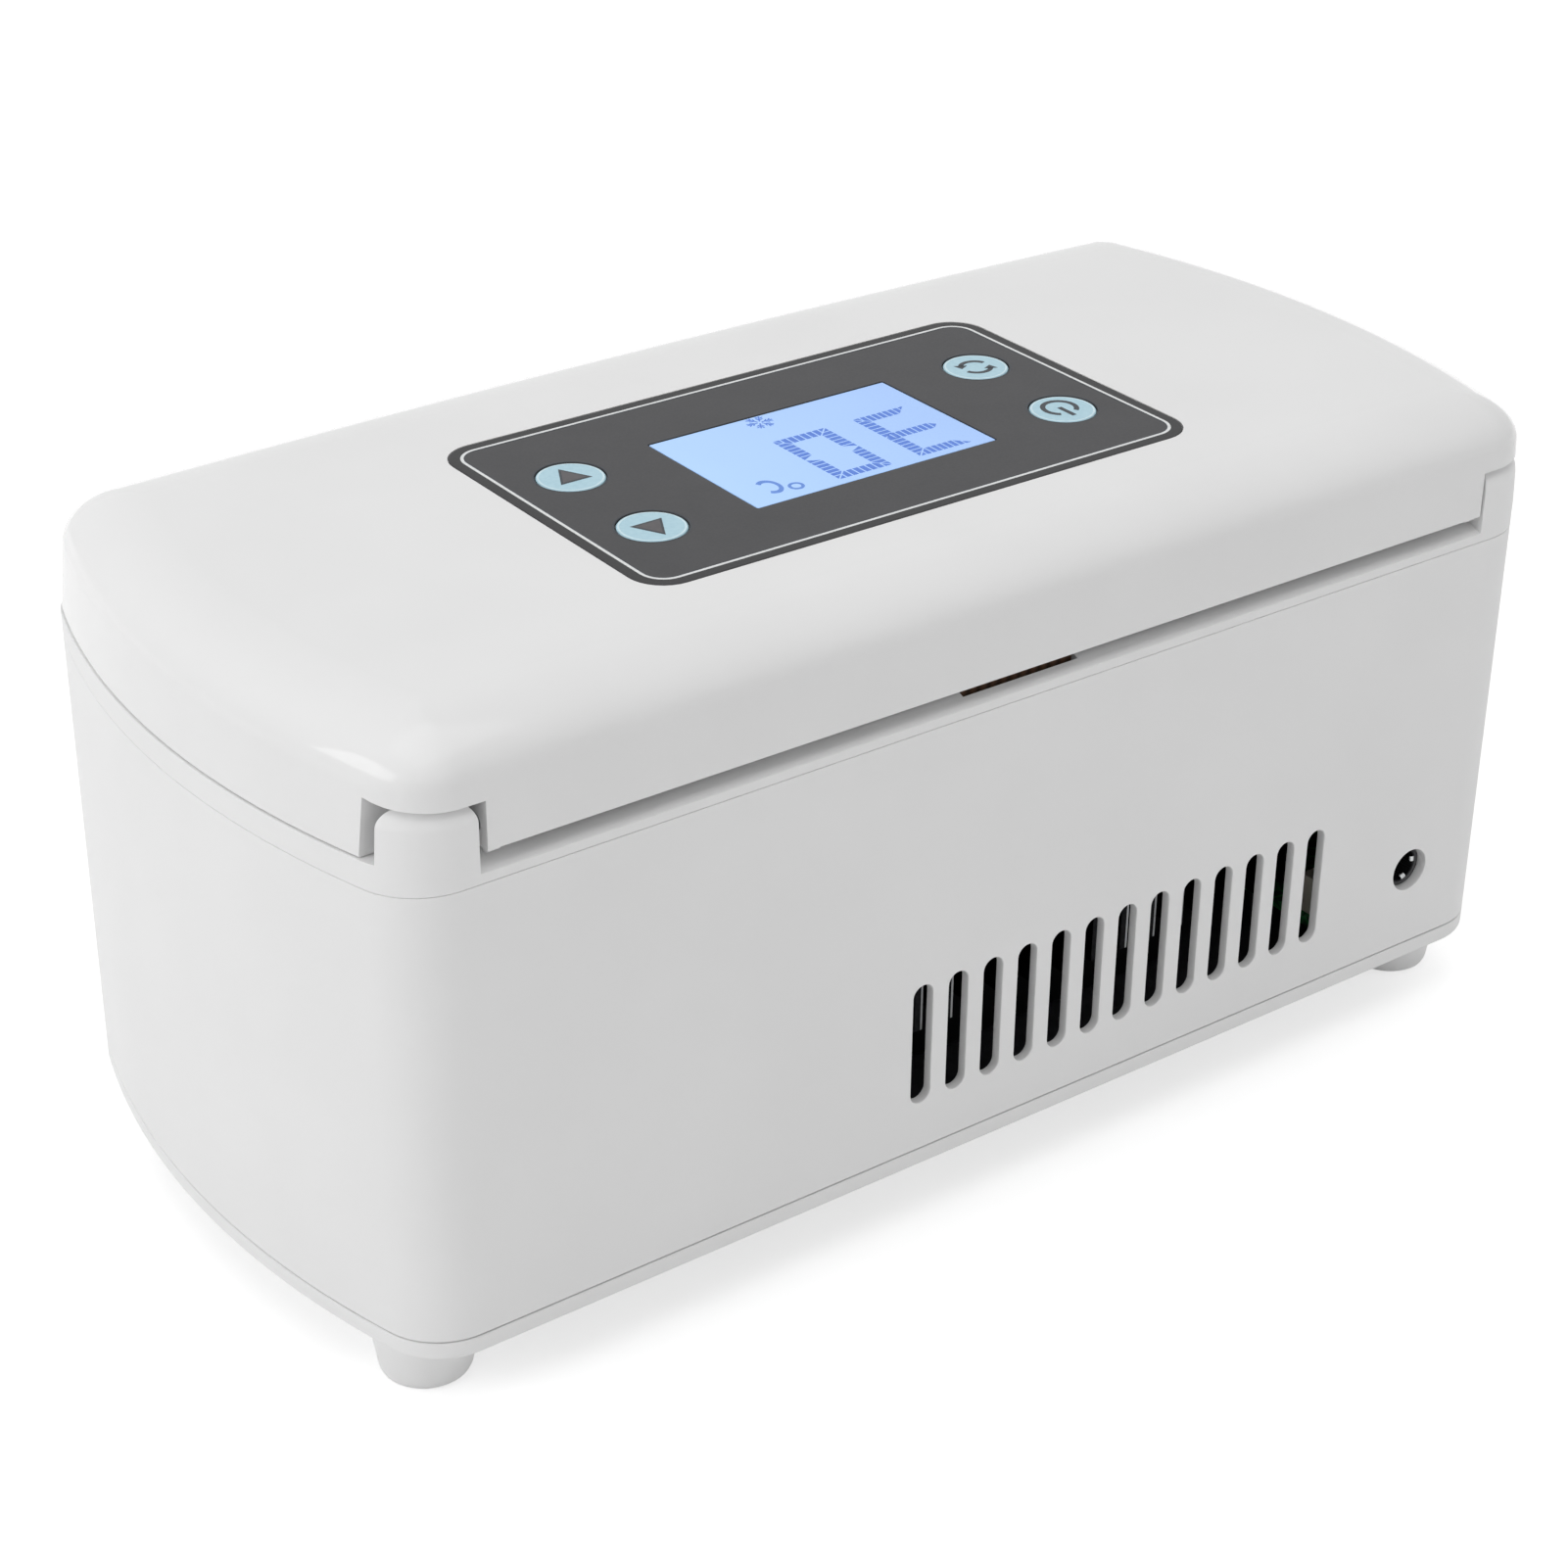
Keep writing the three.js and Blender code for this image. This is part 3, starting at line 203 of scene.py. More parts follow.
def soften(piece, width=0.0, angle=40, segments=3):
    """Rounds the sharp edges by a small moulding radius (mm), if one is given, and shades smooth."""
    if width:
        bm = bmesh.new()
        bm.from_mesh(piece.data)
        bmesh.ops.remove_doubles(bm, verts=bm.verts, dist=TINY_EDGE)
        bmesh.ops.dissolve_degenerate(bm, edges=bm.edges, dist=TINY_EDGE)
        bm.to_mesh(piece.data)
        bm.free()
        bevel = piece.modifiers.new("edge", "BEVEL")
        bevel.width = width * MM
        bevel.segments = segments
        bevel.limit_method = "ANGLE"
        bevel.angle_limit = radians(angle)
        bevel.use_clamp_overlap = True
        settle(piece)
    piece.data.polygons.foreach_set("use_smooth", [True] * len(piece.data.polygons))
    piece.data.set_sharp_from_angle(angle=radians(angle))
    piece.modifiers.new("even", "WEIGHTED_NORMAL").keep_sharp = True
    return piece


# %% [markdown]
# ## Outlines
# Seen from above the case has a flat rear, a gently bowed front and strongly bowed ends that meet in
# round corners. One function gives that outline drawn in by any inset, always with the same number of
# points, so two insets can be skinned together.

# %% Outlines
CASE_LENGTH = 240.8
CASE_WIDTH = 115.0
END_BOW = 9.7
FRONT_BOW = 3.0
CORNER = 11.5
LEAST_CORNER = 0.6
REAR = CASE_WIDTH / 2
END_STEPS, CORNER_STEPS, FRONT_STEPS, CIRCLE_STEPS = 40, 14, 40, 64

middle = FRONT_BOW / 2
end_radius = ((REAR - middle) ** 2 + END_BOW ** 2) / (2 * END_BOW)
end_centre = Vector((CASE_LENGTH / 2 - end_radius, middle))
front_chord = CASE_LENGTH / 2 - END_BOW
front_radius = (front_chord ** 2 + FRONT_BOW ** 2) / (2 * FRONT_BOW)
front_centre = Vector((0, front_radius - REAR))


def arc(centre, radius, start, end, steps):
    """Points along an arc, both ends included."""
    angles = [start + (end - start) * i / steps for i in range(steps + 1)]
    return [(centre[0] + radius * cos(t), centre[1] + radius * sin(t)) for t in angles]


def circle(x, y, radius):
    """Points round a full circle."""
    return arc((x, y), radius, 0, 2 * pi, CIRCLE_STEPS)[:-1]


def bearing(centre, point):
    """The angle at which a point lies from a centre."""
    return atan2(point[1] - centre[1], point[0] - centre[0])


def outline(inset):
    """The case seen from above, drawn in by an inset (mm)."""
    radius = max(CORNER - inset, LEAST_CORNER)
    depth = inset + radius
    rear_y = REAR - depth
    rear = Vector((end_centre.x + sqrt((end_radius - depth) ** 2 - (rear_y - middle) ** 2), rear_y))
    near, far = end_radius - depth, front_radius - depth
    between = front_centre - end_centre
    along = (near ** 2 - far ** 2 + between.length_squared) / (2 * between.length)
    unit = between.normalized()
    side = Vector((unit.y, -unit.x))
    front = end_centre + unit * along + side * sqrt(near ** 2 - along ** 2)
    rear_angle, front_angle = bearing(end_centre, rear), bearing(end_centre, front)
    bow_angle = bearing(front_centre, front)
    end = arc(end_centre, end_radius - inset, front_angle, rear_angle, END_STEPS)[1:-1]
    bow = arc(front_centre, front_radius - inset, -pi - bow_angle, bow_angle, FRONT_STEPS)[1:-1]
    half = (arc(front, radius, bow_angle, front_angle, CORNER_STEPS) + end
            + arc(rear, radius, rear_angle, pi / 2, CORNER_STEPS))
    return half + [(-x, y) for x, y in reversed(half)] + bow


def rounded(length, width, radius, x=0.0, y=0.0, steps=8):
    """A rectangle with round corners."""
    points = []
    for i, (sx, sy) in enumerate(((1, -1), (1, 1), (-1, 1), (-1, -1))):
        centre = (x + sx * (length / 2 - radius), y + sy * (width / 2 - radius))
        points += arc(centre, radius, (i - 1) * pi / 2, i * pi / 2, steps)
    return points


def quarter(steps):
    """Angles from 0 to a right angle."""
    return [pi / 2 * i / steps for i in range(steps + 1)]


def lower_edge(plan, radius, foot, steps):
    """Rings that round a lower edge upwards from its foot; plan gives an outline for an inset."""
    return [(plan(radius * (1 - sin(a))), foot + radius * (1 - cos(a))) for a in quarter(steps)]


def upper_edge(plan, radius, top, steps):
    """Rings that round an upper edge up to its top."""
    return [(plan(radius * (1 - cos(a))), top - radius * (1 - sin(a))) for a in quarter(steps)]


def spaced(count, pitch):
    """Even offsets on both sides of 0."""
    return [(i - (count - 1) / 2) * pitch for i in range(count)]


def four_corners(x, front, rear):
    """Four places at equal distances to both sides, named by their corner."""
    rows_of_two = {"front_": front, "rear_": rear}
    return {row + side: (sign * x, y) for row, y in rows_of_two.items()
            for side, sign in (("left", -1), ("right", 1))}


print("outline:", len(outline(0)), "points")

# %% [markdown]
# ## Finishes
# Each material starts from what the real one is. Colours are written as sRGB hex and turned to linear
# by one function, and each pattern's scale comes from a size in millimetres, because a texture node
# counts how many features fit in a metre.

# %% Material helpers
DRIFT_START, DRIFT_STOP = 0.35, 0.65


def linear(colour):
    """An sRGB hex colour as linear RGBA."""
    channels = [int(colour[i:i + 2], 16) / 255 for i in (1, 3, 5)]
    return [c / 12.92 if c <= 0.04045 else ((c + 0.055) / 1.055) ** 2.4 for c in channels] + [1.0]


def per_metre(feature_mm):
    """How many features of this size fit in a metre."""
    return 1.0 / (feature_mm * MM)


def node(tree, kind, values, links=None):
    """Adds a shader node, sets its properties and sockets, and links sockets to its inputs."""
    made = tree.nodes.new("ShaderNode" + kind)
    for name, value in values.items():
        if isinstance(name, int) or name in made.inputs:
            made.inputs[name].default_value = value
        else:
            setattr(made, name, value)
    for name, socket in (links or {}).items():
        tree.links.new(socket, made.inputs[name])
    return made


def maths(tree, operation, *terms):
    """The result of a Math node; each term is a number or a socket."""
    numbers = {i: term for i, term in enumerate(terms) if isinstance(term, float)}
    sockets = {i: term for i, term in enumerate(terms) if not isinstance(term, float)}
    return node(tree, "Math", {"operation": operation, **numbers}, sockets).outputs["Value"]


def noise(tree, place, feature_mm, detail=2.0):
    """A cloudy pattern with features of a given size."""
    made = node(tree, "TexNoise", {"Scale": per_metre(feature_mm), "Detail": detail}, {"Vector": place})
    return made.outputs["Fac"]


def cells(tree, place, feature_mm, feature="F1"):
    """The distance to the middle of the nearest cell, or to its edge."""
    values = {"Scale": per_metre(feature_mm), "feature": feature}
    return node(tree, "TexVoronoi", values, {"Vector": place}).outputs["Distance"]


def between(tree, source, low, high, start=0.0, stop=1.0):
    """A colour that runs from one tone to another as a pattern rises."""
    ramp = node(tree, "ValToRGB", {}, {"Fac": source})
    for element, tone, position in zip(ramp.color_ramp.elements, (low, high), (start, stop)):
        element.position = position
        element.color = linear(tone)
    return ramp.outputs["Color"]


def overlaid(tree, shader, share, colour):
    """Lays a colour over the shader's own colour where the share is 1."""
    own = shader.inputs["Base Color"].links[0].from_socket
    mixed = node(tree, "Mix", {"data_type": "RGBA", 7: linear(colour)}, {0: share, 6: own})
    tree.links.new(mixed.outputs[2], shader.inputs["Base Color"])


def finish(name, roughness, metallic=0.0, ior=1.5, **sockets):
    """A new material: returns it with its node tree, its shader and the object coordinates."""
    material = bpy.data.materials.new(name)
    material.use_nodes = True
    tree = material.node_tree
    shader = tree.nodes["Principled BSDF"]
    shader.inputs["Roughness"].default_value = roughness
    shader.inputs["Metallic"].default_value = metallic
    if not metallic:
        shader.inputs["IOR"].default_value = ior
    for socket, value in sockets.items():
        shader.inputs[socket.replace("_", " ")].default_value = value
    place = node(tree, "TexCoord", {}).outputs["Object"]
    return material, tree, shader, place


def speckled(tree, shader, place, low, high, feature_mm, detail=2.0):
    """Lets the colour drift between two close tones over a noise of a given size."""
    pattern = noise(tree, place, feature_mm, detail)
    colour = between(tree, pattern, low, high, DRIFT_START, DRIFT_STOP)
    tree.links.new(colour, shader.inputs["Base Color"])
    return pattern


def bumped(tree, shader, height, strength, depth_mm):
    """Raises the surface by a height pattern of a given depth."""
    bump = node(tree, "Bump", {"Strength": strength, "Distance": depth_mm * MM}, {"Height": height})
    tree.links.new(bump.outputs["Normal"], shader.inputs["Normal"])


def rough_range(tree, shader, source, low, high):
    """Lets the roughness follow a pattern between two values."""
    spread = node(tree, "MapRange", {"To Min": low, "To Max": high}, {"Value": source})
    tree.links.new(spread.outputs["Result"], shader.inputs["Roughness"])


# %% [markdown]
# ### Moulded plastics
# The casing is injection-moulded ABS of an even cool white. On the lid it is gloss, so lamps leave sharp
# streaks there, and on the body it is satin. Reflections are slightly wavy, since the melt shrinks a
# little unevenly, and a faint drift of tone keeps large areas alive.

# %% Moulded plastics
def moulded_abs(name, low, high, roughness, shine=0.5):
    """Moulded plastic: close tones, and a faint waviness about three millimetres wide."""
    material, tree, shader, place = finish(name, roughness, ior=1.53, Specular_IOR_Level=shine)
    speckled(tree, shader, place, low, high, feature_mm=30.0)
    peel = noise(tree, place, feature_mm=3.0, detail=1.0)
    rough_range(tree, shader, peel, roughness - 0.03, roughness + 0.03)
    bumped(tree, shader, peel, strength=0.05, depth_mm=0.05)
    return material


gloss_abs = moulded_abs("moulded gloss ABS white", "#E9E9E9", "#EBEBEB", 0.05, 0.2)
satin_abs = moulded_abs("moulded satin ABS white casing", "#EBEBEB", "#EDEDED", 0.5, 0.2)
inner_abs = moulded_abs("moulded satin ABS white", "#E6E6E5", "#E9E9E8", 0.45)
black_nylon = moulded_abs("moulded nylon black", "#111112", "#161617", 0.7, 0.1)
gloss_nylon = moulded_abs("moulded gloss nylon black", "#2A2A2C", "#333335", 0.4)
ivory_nylon = moulded_abs("moulded nylon ivory", "#E4DFCE", "#ECE8DA", 0.5)
print("moulded plastics ready")

# %% [markdown]
# ### Printed film, keycaps and display
# The panel is a polyester film printed dark grey on its back, so it has a fine satin grain and a few
# dust specks. The keycaps are pale silicone with a screen print. The display is a liquid crystal over a
# blue backlight, so it glows a little and its printed marks are a deeper blue.

# %% Film, keycaps and display
DUST_PITCH, DUST_SHARE = 7.0, 0.018
GLOW_HALF, CLOUD_SHARE, CLOUD_SHIFT = 24.0, 0.25, -0.12


def printed_film(name, low, high):
    """Matt film: little mirror reflection, a fine grain and dust specks a quarter millimetre wide."""
    material, tree, shader, place = finish(name, 0.5, ior=1.5, Specular_IOR_Level=0.22)
    tone = between(tree, noise(tree, place, feature_mm=9.0), low, high)
    tree.links.new(tone, shader.inputs["Base Color"])
    speck = maths(tree, "LESS_THAN", cells(tree, place, DUST_PITCH), DUST_SHARE)
    overlaid(tree, shader, speck, "#87878A")
    grain = noise(tree, place, feature_mm=0.35)
    rough_range(tree, shader, grain, 0.45, 0.58)
    bumped(tree, shader, grain, strength=0.06, depth_mm=0.02)
    return material


def screen_print(name, low, high, roughness=0.5, glow=0.0):
    """Ink or silicone: an even tone with a very fine grain; a lit mark also glows."""
    glowing = {"Emission_Color": linear(high), "Emission_Strength": glow}
    material, tree, shader, place = finish(name, roughness, **glowing)
    grain = speckled(tree, shader, place, low, high, feature_mm=0.8)
    bumped(tree, shader, grain, strength=0.05, depth_mm=0.01)
    return material


def backlit_display():
    """A glowing pale blue, faintly cloudy and a little lighter towards +X."""
    glowing = {"ior": 1.52, "Emission_Strength": 0.31}
    material, tree, shader, place = finish("liquid crystal backlit blue", 0.16, **glowing)
    along = node(tree, "SeparateXYZ", {}, {"Vector": place}).outputs["X"]
    span = {"From Min": -GLOW_HALF * MM, "From Max": GLOW_HALF * MM}
    slope = node(tree, "MapRange", span, {"Value": along})
    cloud = maths(tree, "MULTIPLY_ADD", noise(tree, place, 14.0, 1.0), CLOUD_SHARE, CLOUD_SHIFT)
    tone = between(tree, maths(tree, "ADD", slope.outputs["Result"], cloud), "#8FB2E6", "#9CC0EE")
    tree.links.new(tone, shader.inputs["Base Color"])
    tree.links.new(tone, shader.inputs["Emission Color"])
    return material


film = printed_film("polyester film printed grey", "#404042", "#474749")
border_film = printed_film("polyester film printed dark grey", "#313132", "#373738")
silver_print = screen_print("silver screen print", "#DADCDD", "#E4E6E6", 0.4)
dark_print = screen_print("dark screen print", "#1D252D", "#252D36")
grey_print = screen_print("grey screen print", "#454245", "#4B484B")
keycap_silicone = screen_print("pale blue silicone keycap", "#ACD0DE", "#B4D6E3", 0.45)
# painted highlight: a paler band round each keycap's top edge
keycap_rim_highlight = screen_print("pale blue silicone rim painted highlight", "#CDE6EE", "#D5EBF2", 0.45)
crystal_mark = screen_print("liquid crystal mark", "#3868C0", "#3F6FC8", 0.4, 0.25)
pale_mark = screen_print("liquid crystal mark pale", "#4674C0", "#4D7BC8", 0.4, 0.25)
display = backlit_display()
print("panel finishes ready")

# %% [markdown]
# ### Metals, foam, board, cable and the rest
# The chamber is deep-drawn aluminium with fine drawing lines, the fins are extruded aluminium, and the
# screws are nickel-plated steel. Foam shows its cells, a circuit board its copper tracks under green
# mask, and a flat cable its row of conductors.

# %% Metals
LINE_STRETCH, LINE_ROUGH = 0.02, 0.08
SINK_X, SINK_WIDTH = -23.7, 90.0
FIN_COUNT, FIN_THICK = 15, 1.6
FIN_GLINT_WIDTH, FIN_GLINT_FROM = 0.4, 49.9  # width of each painted glint line, and the y from which it shows


def brushed(name, low, high, roughness, line_mm, along):
    """A metal with fine lines along one axis: the noise is stretched that way."""
    material, tree, shader, place = finish(name, roughness, metallic=1.0)
    stretch = [LINE_STRETCH if axis == along else 1.0 for axis in "XYZ"]
    lines = node(tree, "Mapping", {"Scale": stretch}, {"Vector": place}).outputs["Vector"]
    grain = speckled(tree, shader, lines, low, high, line_mm, detail=3.0)
    rough_range(tree, shader, grain, roughness - LINE_ROUGH, roughness + LINE_ROUGH)
    bumped(tree, shader, grain, strength=0.08, depth_mm=0.02)
    return material


def painted_fin_glints(material):
    """A painted glint: a bright line down one edge of each fin's end, for the glints seen behind the vents.
    """
    first, pitch = SINK_X - SINK_WIDTH / 2, (SINK_WIDTH - FIN_THICK) / (FIN_COUNT - 1)
    tree = material.node_tree
    place = node(tree, "TexCoord", {}).outputs["Object"]
    axes = node(tree, "SeparateXYZ", {}, {"Vector": place}).outputs
    within = maths(tree, "MODULO", maths(tree, "SUBTRACT", axes["X"], first * MM), pitch * MM)
    edge = maths(tree, "LESS_THAN", within, FIN_GLINT_WIDTH * MM)
    end = maths(tree, "GREATER_THAN", axes["Y"], FIN_GLINT_FROM * MM)
    # painted glint: a pale aluminium colour laid on a thin line at each fin's end
    overlaid(tree, tree.nodes["Principled BSDF"], maths(tree, "MULTIPLY", edge, end), "#C4C6C8")


drawn_aluminium = brushed("deep-drawn aluminium", "#BDC0C3", "#CDD0D2", 0.34, 0.5, "X")
bare_aluminium = brushed("milled aluminium", "#A9ACAF", "#BCBFC2", 0.4, 0.6, "Y")
anodised_aluminium = brushed("black-anodised aluminium", "#1E1E20", "#2A2A2C", 0.32, 0.6, "Y")
painted_fin_glints(anodised_aluminium)
nickel_steel = brushed("nickel-plated steel", "#B3B5B6", "#C6C8C8", 0.25, 0.3, "Z")

# %% Foam, rubber, board, ceramic and cable
CONDUCTOR_MM, WAVE_PERIOD = 2.0, pi / 10  # at scale 1 a wave texture repeats every pi / 10


def foam_cells():
    """Dull dark foam whose cells are just under a millimetre wide."""
    material, tree, shader, place = finish("closed-cell polyethylene foam", 0.9)
    speckled(tree, shader, place, "#35353A", "#3F3F44", feature_mm=4.0)
    bumped(tree, shader, cells(tree, place, 0.8), strength=0.4, depth_mm=0.2)
    return material


def grained(name, low, high, roughness, ior, feature_mm, depth_mm):
    """A plain matt material with a fine grain."""
    material, tree, shader, place = finish(name, roughness, ior=ior)
    grain = speckled(tree, shader, place, low, high, feature_mm)
    bumped(tree, shader, grain, strength=0.1, depth_mm=depth_mm)
    return material


def solder_mask():
    """A green board whose tracks show as paler lines under the mask."""
    material, tree, shader, place = finish("glass epoxy board with green mask", 0.4, ior=1.55)
    tracks = cells(tree, place, 3.0, "DISTANCE_TO_EDGE")
    tone = between(tree, tracks, "#2E8A4C", "#1A5E33", 0.06, 0.1)
    tree.links.new(tone, shader.inputs["Base Color"])
    bumped(tree, shader, tracks, strength=0.1, depth_mm=0.03)
    return material


def ribbon_cable():
    """Conductors side by side: a wave across X gives their colour and their ridges."""
    material, tree, shader, place = finish("flat cable PVC brown", 0.5)
    values = {"Scale": per_metre(CONDUCTOR_MM) * WAVE_PERIOD, "Distortion": 0.0}
    wave = node(tree, "TexWave", values, {"Vector": place}).outputs["Fac"]
    tree.links.new(between(tree, wave, "#35251B", "#5C4331"), shader.inputs["Base Color"])
    bumped(tree, shader, wave, strength=0.5, depth_mm=0.2)
    return material


foam = foam_cells()
gasket_silicone = grained("silicone rubber grey", "#85888A", "#909395", 0.6, 1.43, 2.0, 0.05)
board_mask = solder_mask()
ceramic = grained("alumina ceramic", "#EDECE7", "#F6F5F1", 0.55, 1.7, 1.0, 0.02)
cable_pvc = ribbon_cable()
print("materials:", len(bpy.data.materials))

# %% [markdown]
# ## Placing a piece
# Each new piece gets its finish and the CAD body that it moves with, and the CAD nodes that it stands for
# are hidden. A slot name is passed as well, but nothing reads it.

# %% Placing a piece
def place(piece, material, body, slot, *stands_for):
    """Dresses a piece and ties it to the frame."""
    piece.data.materials.clear()
    piece.data.materials.append(material)
    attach(piece, body)
    if stands_for:
        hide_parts(*stands_for)


# %% [markdown]
# ## Lid
# The lid is one moulding: a thin skirt, an elliptical shoulder that is wider than it is high, and a
# flat top. It is skinned from the ceiling inside, down round the lip and up over the shoulder, so the
# shell has its true wall.

# %% Lid shell
LID_TOP, LID_EDGE = 115.0, 96.15
LID_INSET, LID_WALL = 0.25, 2.2
SHOULDER_HIGH, SHOULDER_WIDE = 9.0, 14.0
LIP = 0.22
REAR_LIFT = 1.8  # the long sides have a shorter shoulder than the ends
END_DRAFT = 1.2  # the end walls lean in by this much at the shoulder
LID_PLAY = -0.5  # the lid's -X end stands this far out, for play on the hinge pins
shoulder_z = LID_TOP - SHOULDER_HIGH
lip_rise = LIP / (shoulder_z - LID_EDGE)


def lid_row(inset, top, rise):
    """One ring of the lid: rise is -1 at the lower edge, 0 at the shoulder's foot and 1 at the top."""
    points = outline(LID_INSET + inset)
    row = []
    for i, (x, y) in enumerate(points):
        (ax, ay), (bx, by) = points[i - 1], points[(i + 1) % len(points)]
        facing = (bx - ax) ** 2 / ((bx - ax) ** 2 + (by - ay) ** 2)
        start = shoulder_z + REAR_LIFT * facing
        z = start + (top - start if rise > 0 else start - LID_EDGE) * rise
        lean = END_DRAFT * (z - LID_EDGE) / (start - LID_EDGE) if rise < 0 else END_DRAFT
        row.append((x * (1 - lean * 2 / CASE_LENGTH) + LID_PLAY * (0.5 - x / CASE_LENGTH), y, z))
    return row


rows = []
for angle in reversed(quarter(8)):
    inset = LID_WALL + (SHOULDER_WIDE - LID_WALL) * (1 - cos(angle))
    rows.append(lid_row(inset, LID_TOP - LID_WALL, sin(angle)))
for angle in reversed(quarter(3)):
    inset = LID_WALL - LIP * (1 - sin(angle))
    rows.append(lid_row(inset, LID_TOP, lip_rise * (1 - cos(angle)) - 1))
for angle in quarter(4):
    rows.append(lid_row(LIP * (1 - sin(angle)), LID_TOP, lip_rise * (1 - cos(angle)) - 1))
for angle in quarter(26):
    rows.append(lid_row(SHOULDER_WIDE * (1 - cos(angle)), LID_TOP, sin(angle)))
lid = skin("lid_moulding", rows)

# %% [markdown]
# Each rear corner is filled, given a knuckle and a small stud, notched for its hinge post and bored for
# the hinge pin. Rods along the hinge are measured from the notch's wall.

# %% Rear corners of the lid
FAR = 75.0  # past every face of the case
PAST = 5.0  # how far a tool reaches past what it cuts
POST_X, POST_Y = 99.35, 51.3
NOTCH_X, NOTCH_Y, NOTCH_TOP = POST_X - 0.95, POST_Y - 2.9, 104.2
NOTCH_SLOPE = 0.13  # the notch's ceiling climbs away from the rear
HINGE_Y, HINGE_Z = 54.0, 99.5
FILL_INSET, FILL_LIFT, FILL_OVER = 1.6, 0.01, 1.0
KNUCKLE_ENDS, KNUCKLE_RADIUS = (-5.7, -0.25), 3.0
STUD_ENDS, STUD_RADIUS, STUD_Y, STUD_Z = (-2.4, -0.5), 1.2, REAR - 2.0, LID_EDGE + 0.2
BORE_ENDS, BORE_RADIUS = (-6.0, 1.0), 1.45


def beside_notch(name, side, ends, radius, y, z, steps=64, play=LID_PLAY):
    """A rod along X whose ends are counted from the notch's wall."""
    low, high = sorted(side * (NOTCH_X + end) + play for end in ends)
    return rod(name, radius, low, high, (0, y, z), "X", steps)


wall_x, wall_y = NOTCH_X - LID_WALL, NOTCH_Y - LID_WALL
skirt_line = [(x, y) for x, y in outline(LID_INSET + FILL_INSET) if x > wall_x and y > wall_y]
filled = skirt_line + [(wall_x, skirt_line[-1][1]), (wall_x, wall_y), (skirt_line[0][0], wall_y)]
notch = [(NOTCH_Y, LID_EDGE - PAST), (FAR, LID_EDGE - PAST), (FAR, NOTCH_TOP - NOTCH_SLOPE * (FAR - REAR)),
         (NOTCH_Y, NOTCH_TOP + NOTCH_SLOPE * (REAR - NOTCH_Y))]
for side in (-1, 1):
    plan = [(side * x + LID_PLAY, y) for x, y in filled]
    cut(lid, slab("corner", plan, LID_EDGE + FILL_LIFT, NOTCH_TOP + LID_WALL + FILL_OVER), "UNION")
    cut(lid, beside_notch("knuckle", side, KNUCKLE_ENDS, KNUCKLE_RADIUS, HINGE_Y, HINGE_Z), "UNION")
    cut(lid, beside_notch("stud", side, STUD_ENDS, STUD_RADIUS, STUD_Y, STUD_Z, 32), "UNION")
    cut(lid, drawn_along_x("notch", notch, *sorted((side * NOTCH_X + LID_PLAY, side * 2 * FAR))))
    cut(lid, beside_notch("bore", side, BORE_ENDS, BORE_RADIUS, HINGE_Y, HINGE_Z, 32, play=0.0))
print("lid moulding:", len(lid.data.polygons), "faces")

# %% [markdown]
# The panel's bed is a shallow recess in the top, with openings for the display and the keys.

# %% Panel bed and openings
PANEL_LENGTH, PANEL_WIDTH, PANEL_CORNER = 108.4, 62.9, 6.2
PANEL_Y = 2.9
FILM_X, FILM_Y = 0.3, PANEL_Y - 0.3  # the film lies a little off the middle of its keys
PANEL_GAP, OPENING_GAP, OPENING_DEPTH = 0.2, 0.25, 4.0
BED = LID_TOP - 0.8
LCD_LENGTH, LCD_WIDTH, WINDOW_CORNER = 47.9, 30.5, 0.4
KEY_RADIUS, KEY_X, KEY_Y = 5.63, 41.35, 11.55
KEYS = {"up": (KEY_X, KEY_Y), "down": (KEY_X, -KEY_Y), "mode": (-KEY_X, -KEY_Y), "power": (-KEY_X, KEY_Y)}


def panel_outline(margin):
    """The film's outline, grown by a margin."""
    length, width = PANEL_LENGTH + 2 * margin, PANEL_WIDTH + 2 * margin
    return rounded(length, width, PANEL_CORNER + margin, FILM_X, FILM_Y)


def panel_openings(margin, low, high):
    """Tools for the display window and the key holes."""
    window = rounded(LCD_LENGTH + 2 * margin, LCD_WIDTH + 2 * margin, WINDOW_CORNER, 0, PANEL_Y, 4)
    tools = [slab("window", window, low, high)]
    for x, y in KEYS.values():
        tools.append(rod("hole", KEY_RADIUS + margin, low, high, (x, PANEL_Y + y, 0)))
    return gathered("openings", tools)


cut(lid, slab("bed", panel_outline(PANEL_GAP), BED, LID_TOP + 1))
cut(lid, panel_openings(OPENING_GAP, LID_TOP - OPENING_DEPTH, LID_TOP))
place(soften(lid, width=0.22), gloss_abs, "lid", "casing", "lid_shell")
print("lid:", len(lid.data.polygons), "faces")

# %% [markdown]
# ## Control panel
# The film is a thin plate with the display window and key holes cut through. A silver pinstripe is
# printed two millimetres inside its edge, with a darker border outside it and a fine dark line inside.
# Each print is a raised band two hundredths of a millimetre thick, as a screen print is.

# %% Film and pinstripe
FILM_FOOT = LID_TOP - 0.55
PRINT = 0.02
STRIPE_INSET, STRIPE_WIDTH = 2.15, 0.55
BORDER_INSET, LINE_WIDTH = 0.15, 0.2


def print_band(name, outer, inner, foot):
    """A flat printed band between two outlines."""
    rings = [(outer, foot), (outer, foot + PRINT), (inner, foot + PRINT), (inner, foot)]
    return loft(name, rings, loop=True)


panel = slab("panel_film", panel_outline(0), FILM_FOOT, LID_TOP)
cut(panel, panel_openings(PANEL_GAP, FILM_FOOT - 1, LID_TOP + 1))
place(soften(panel, width=0.12, segments=2), film, "lid", "panel_film", "keypad_overlay")

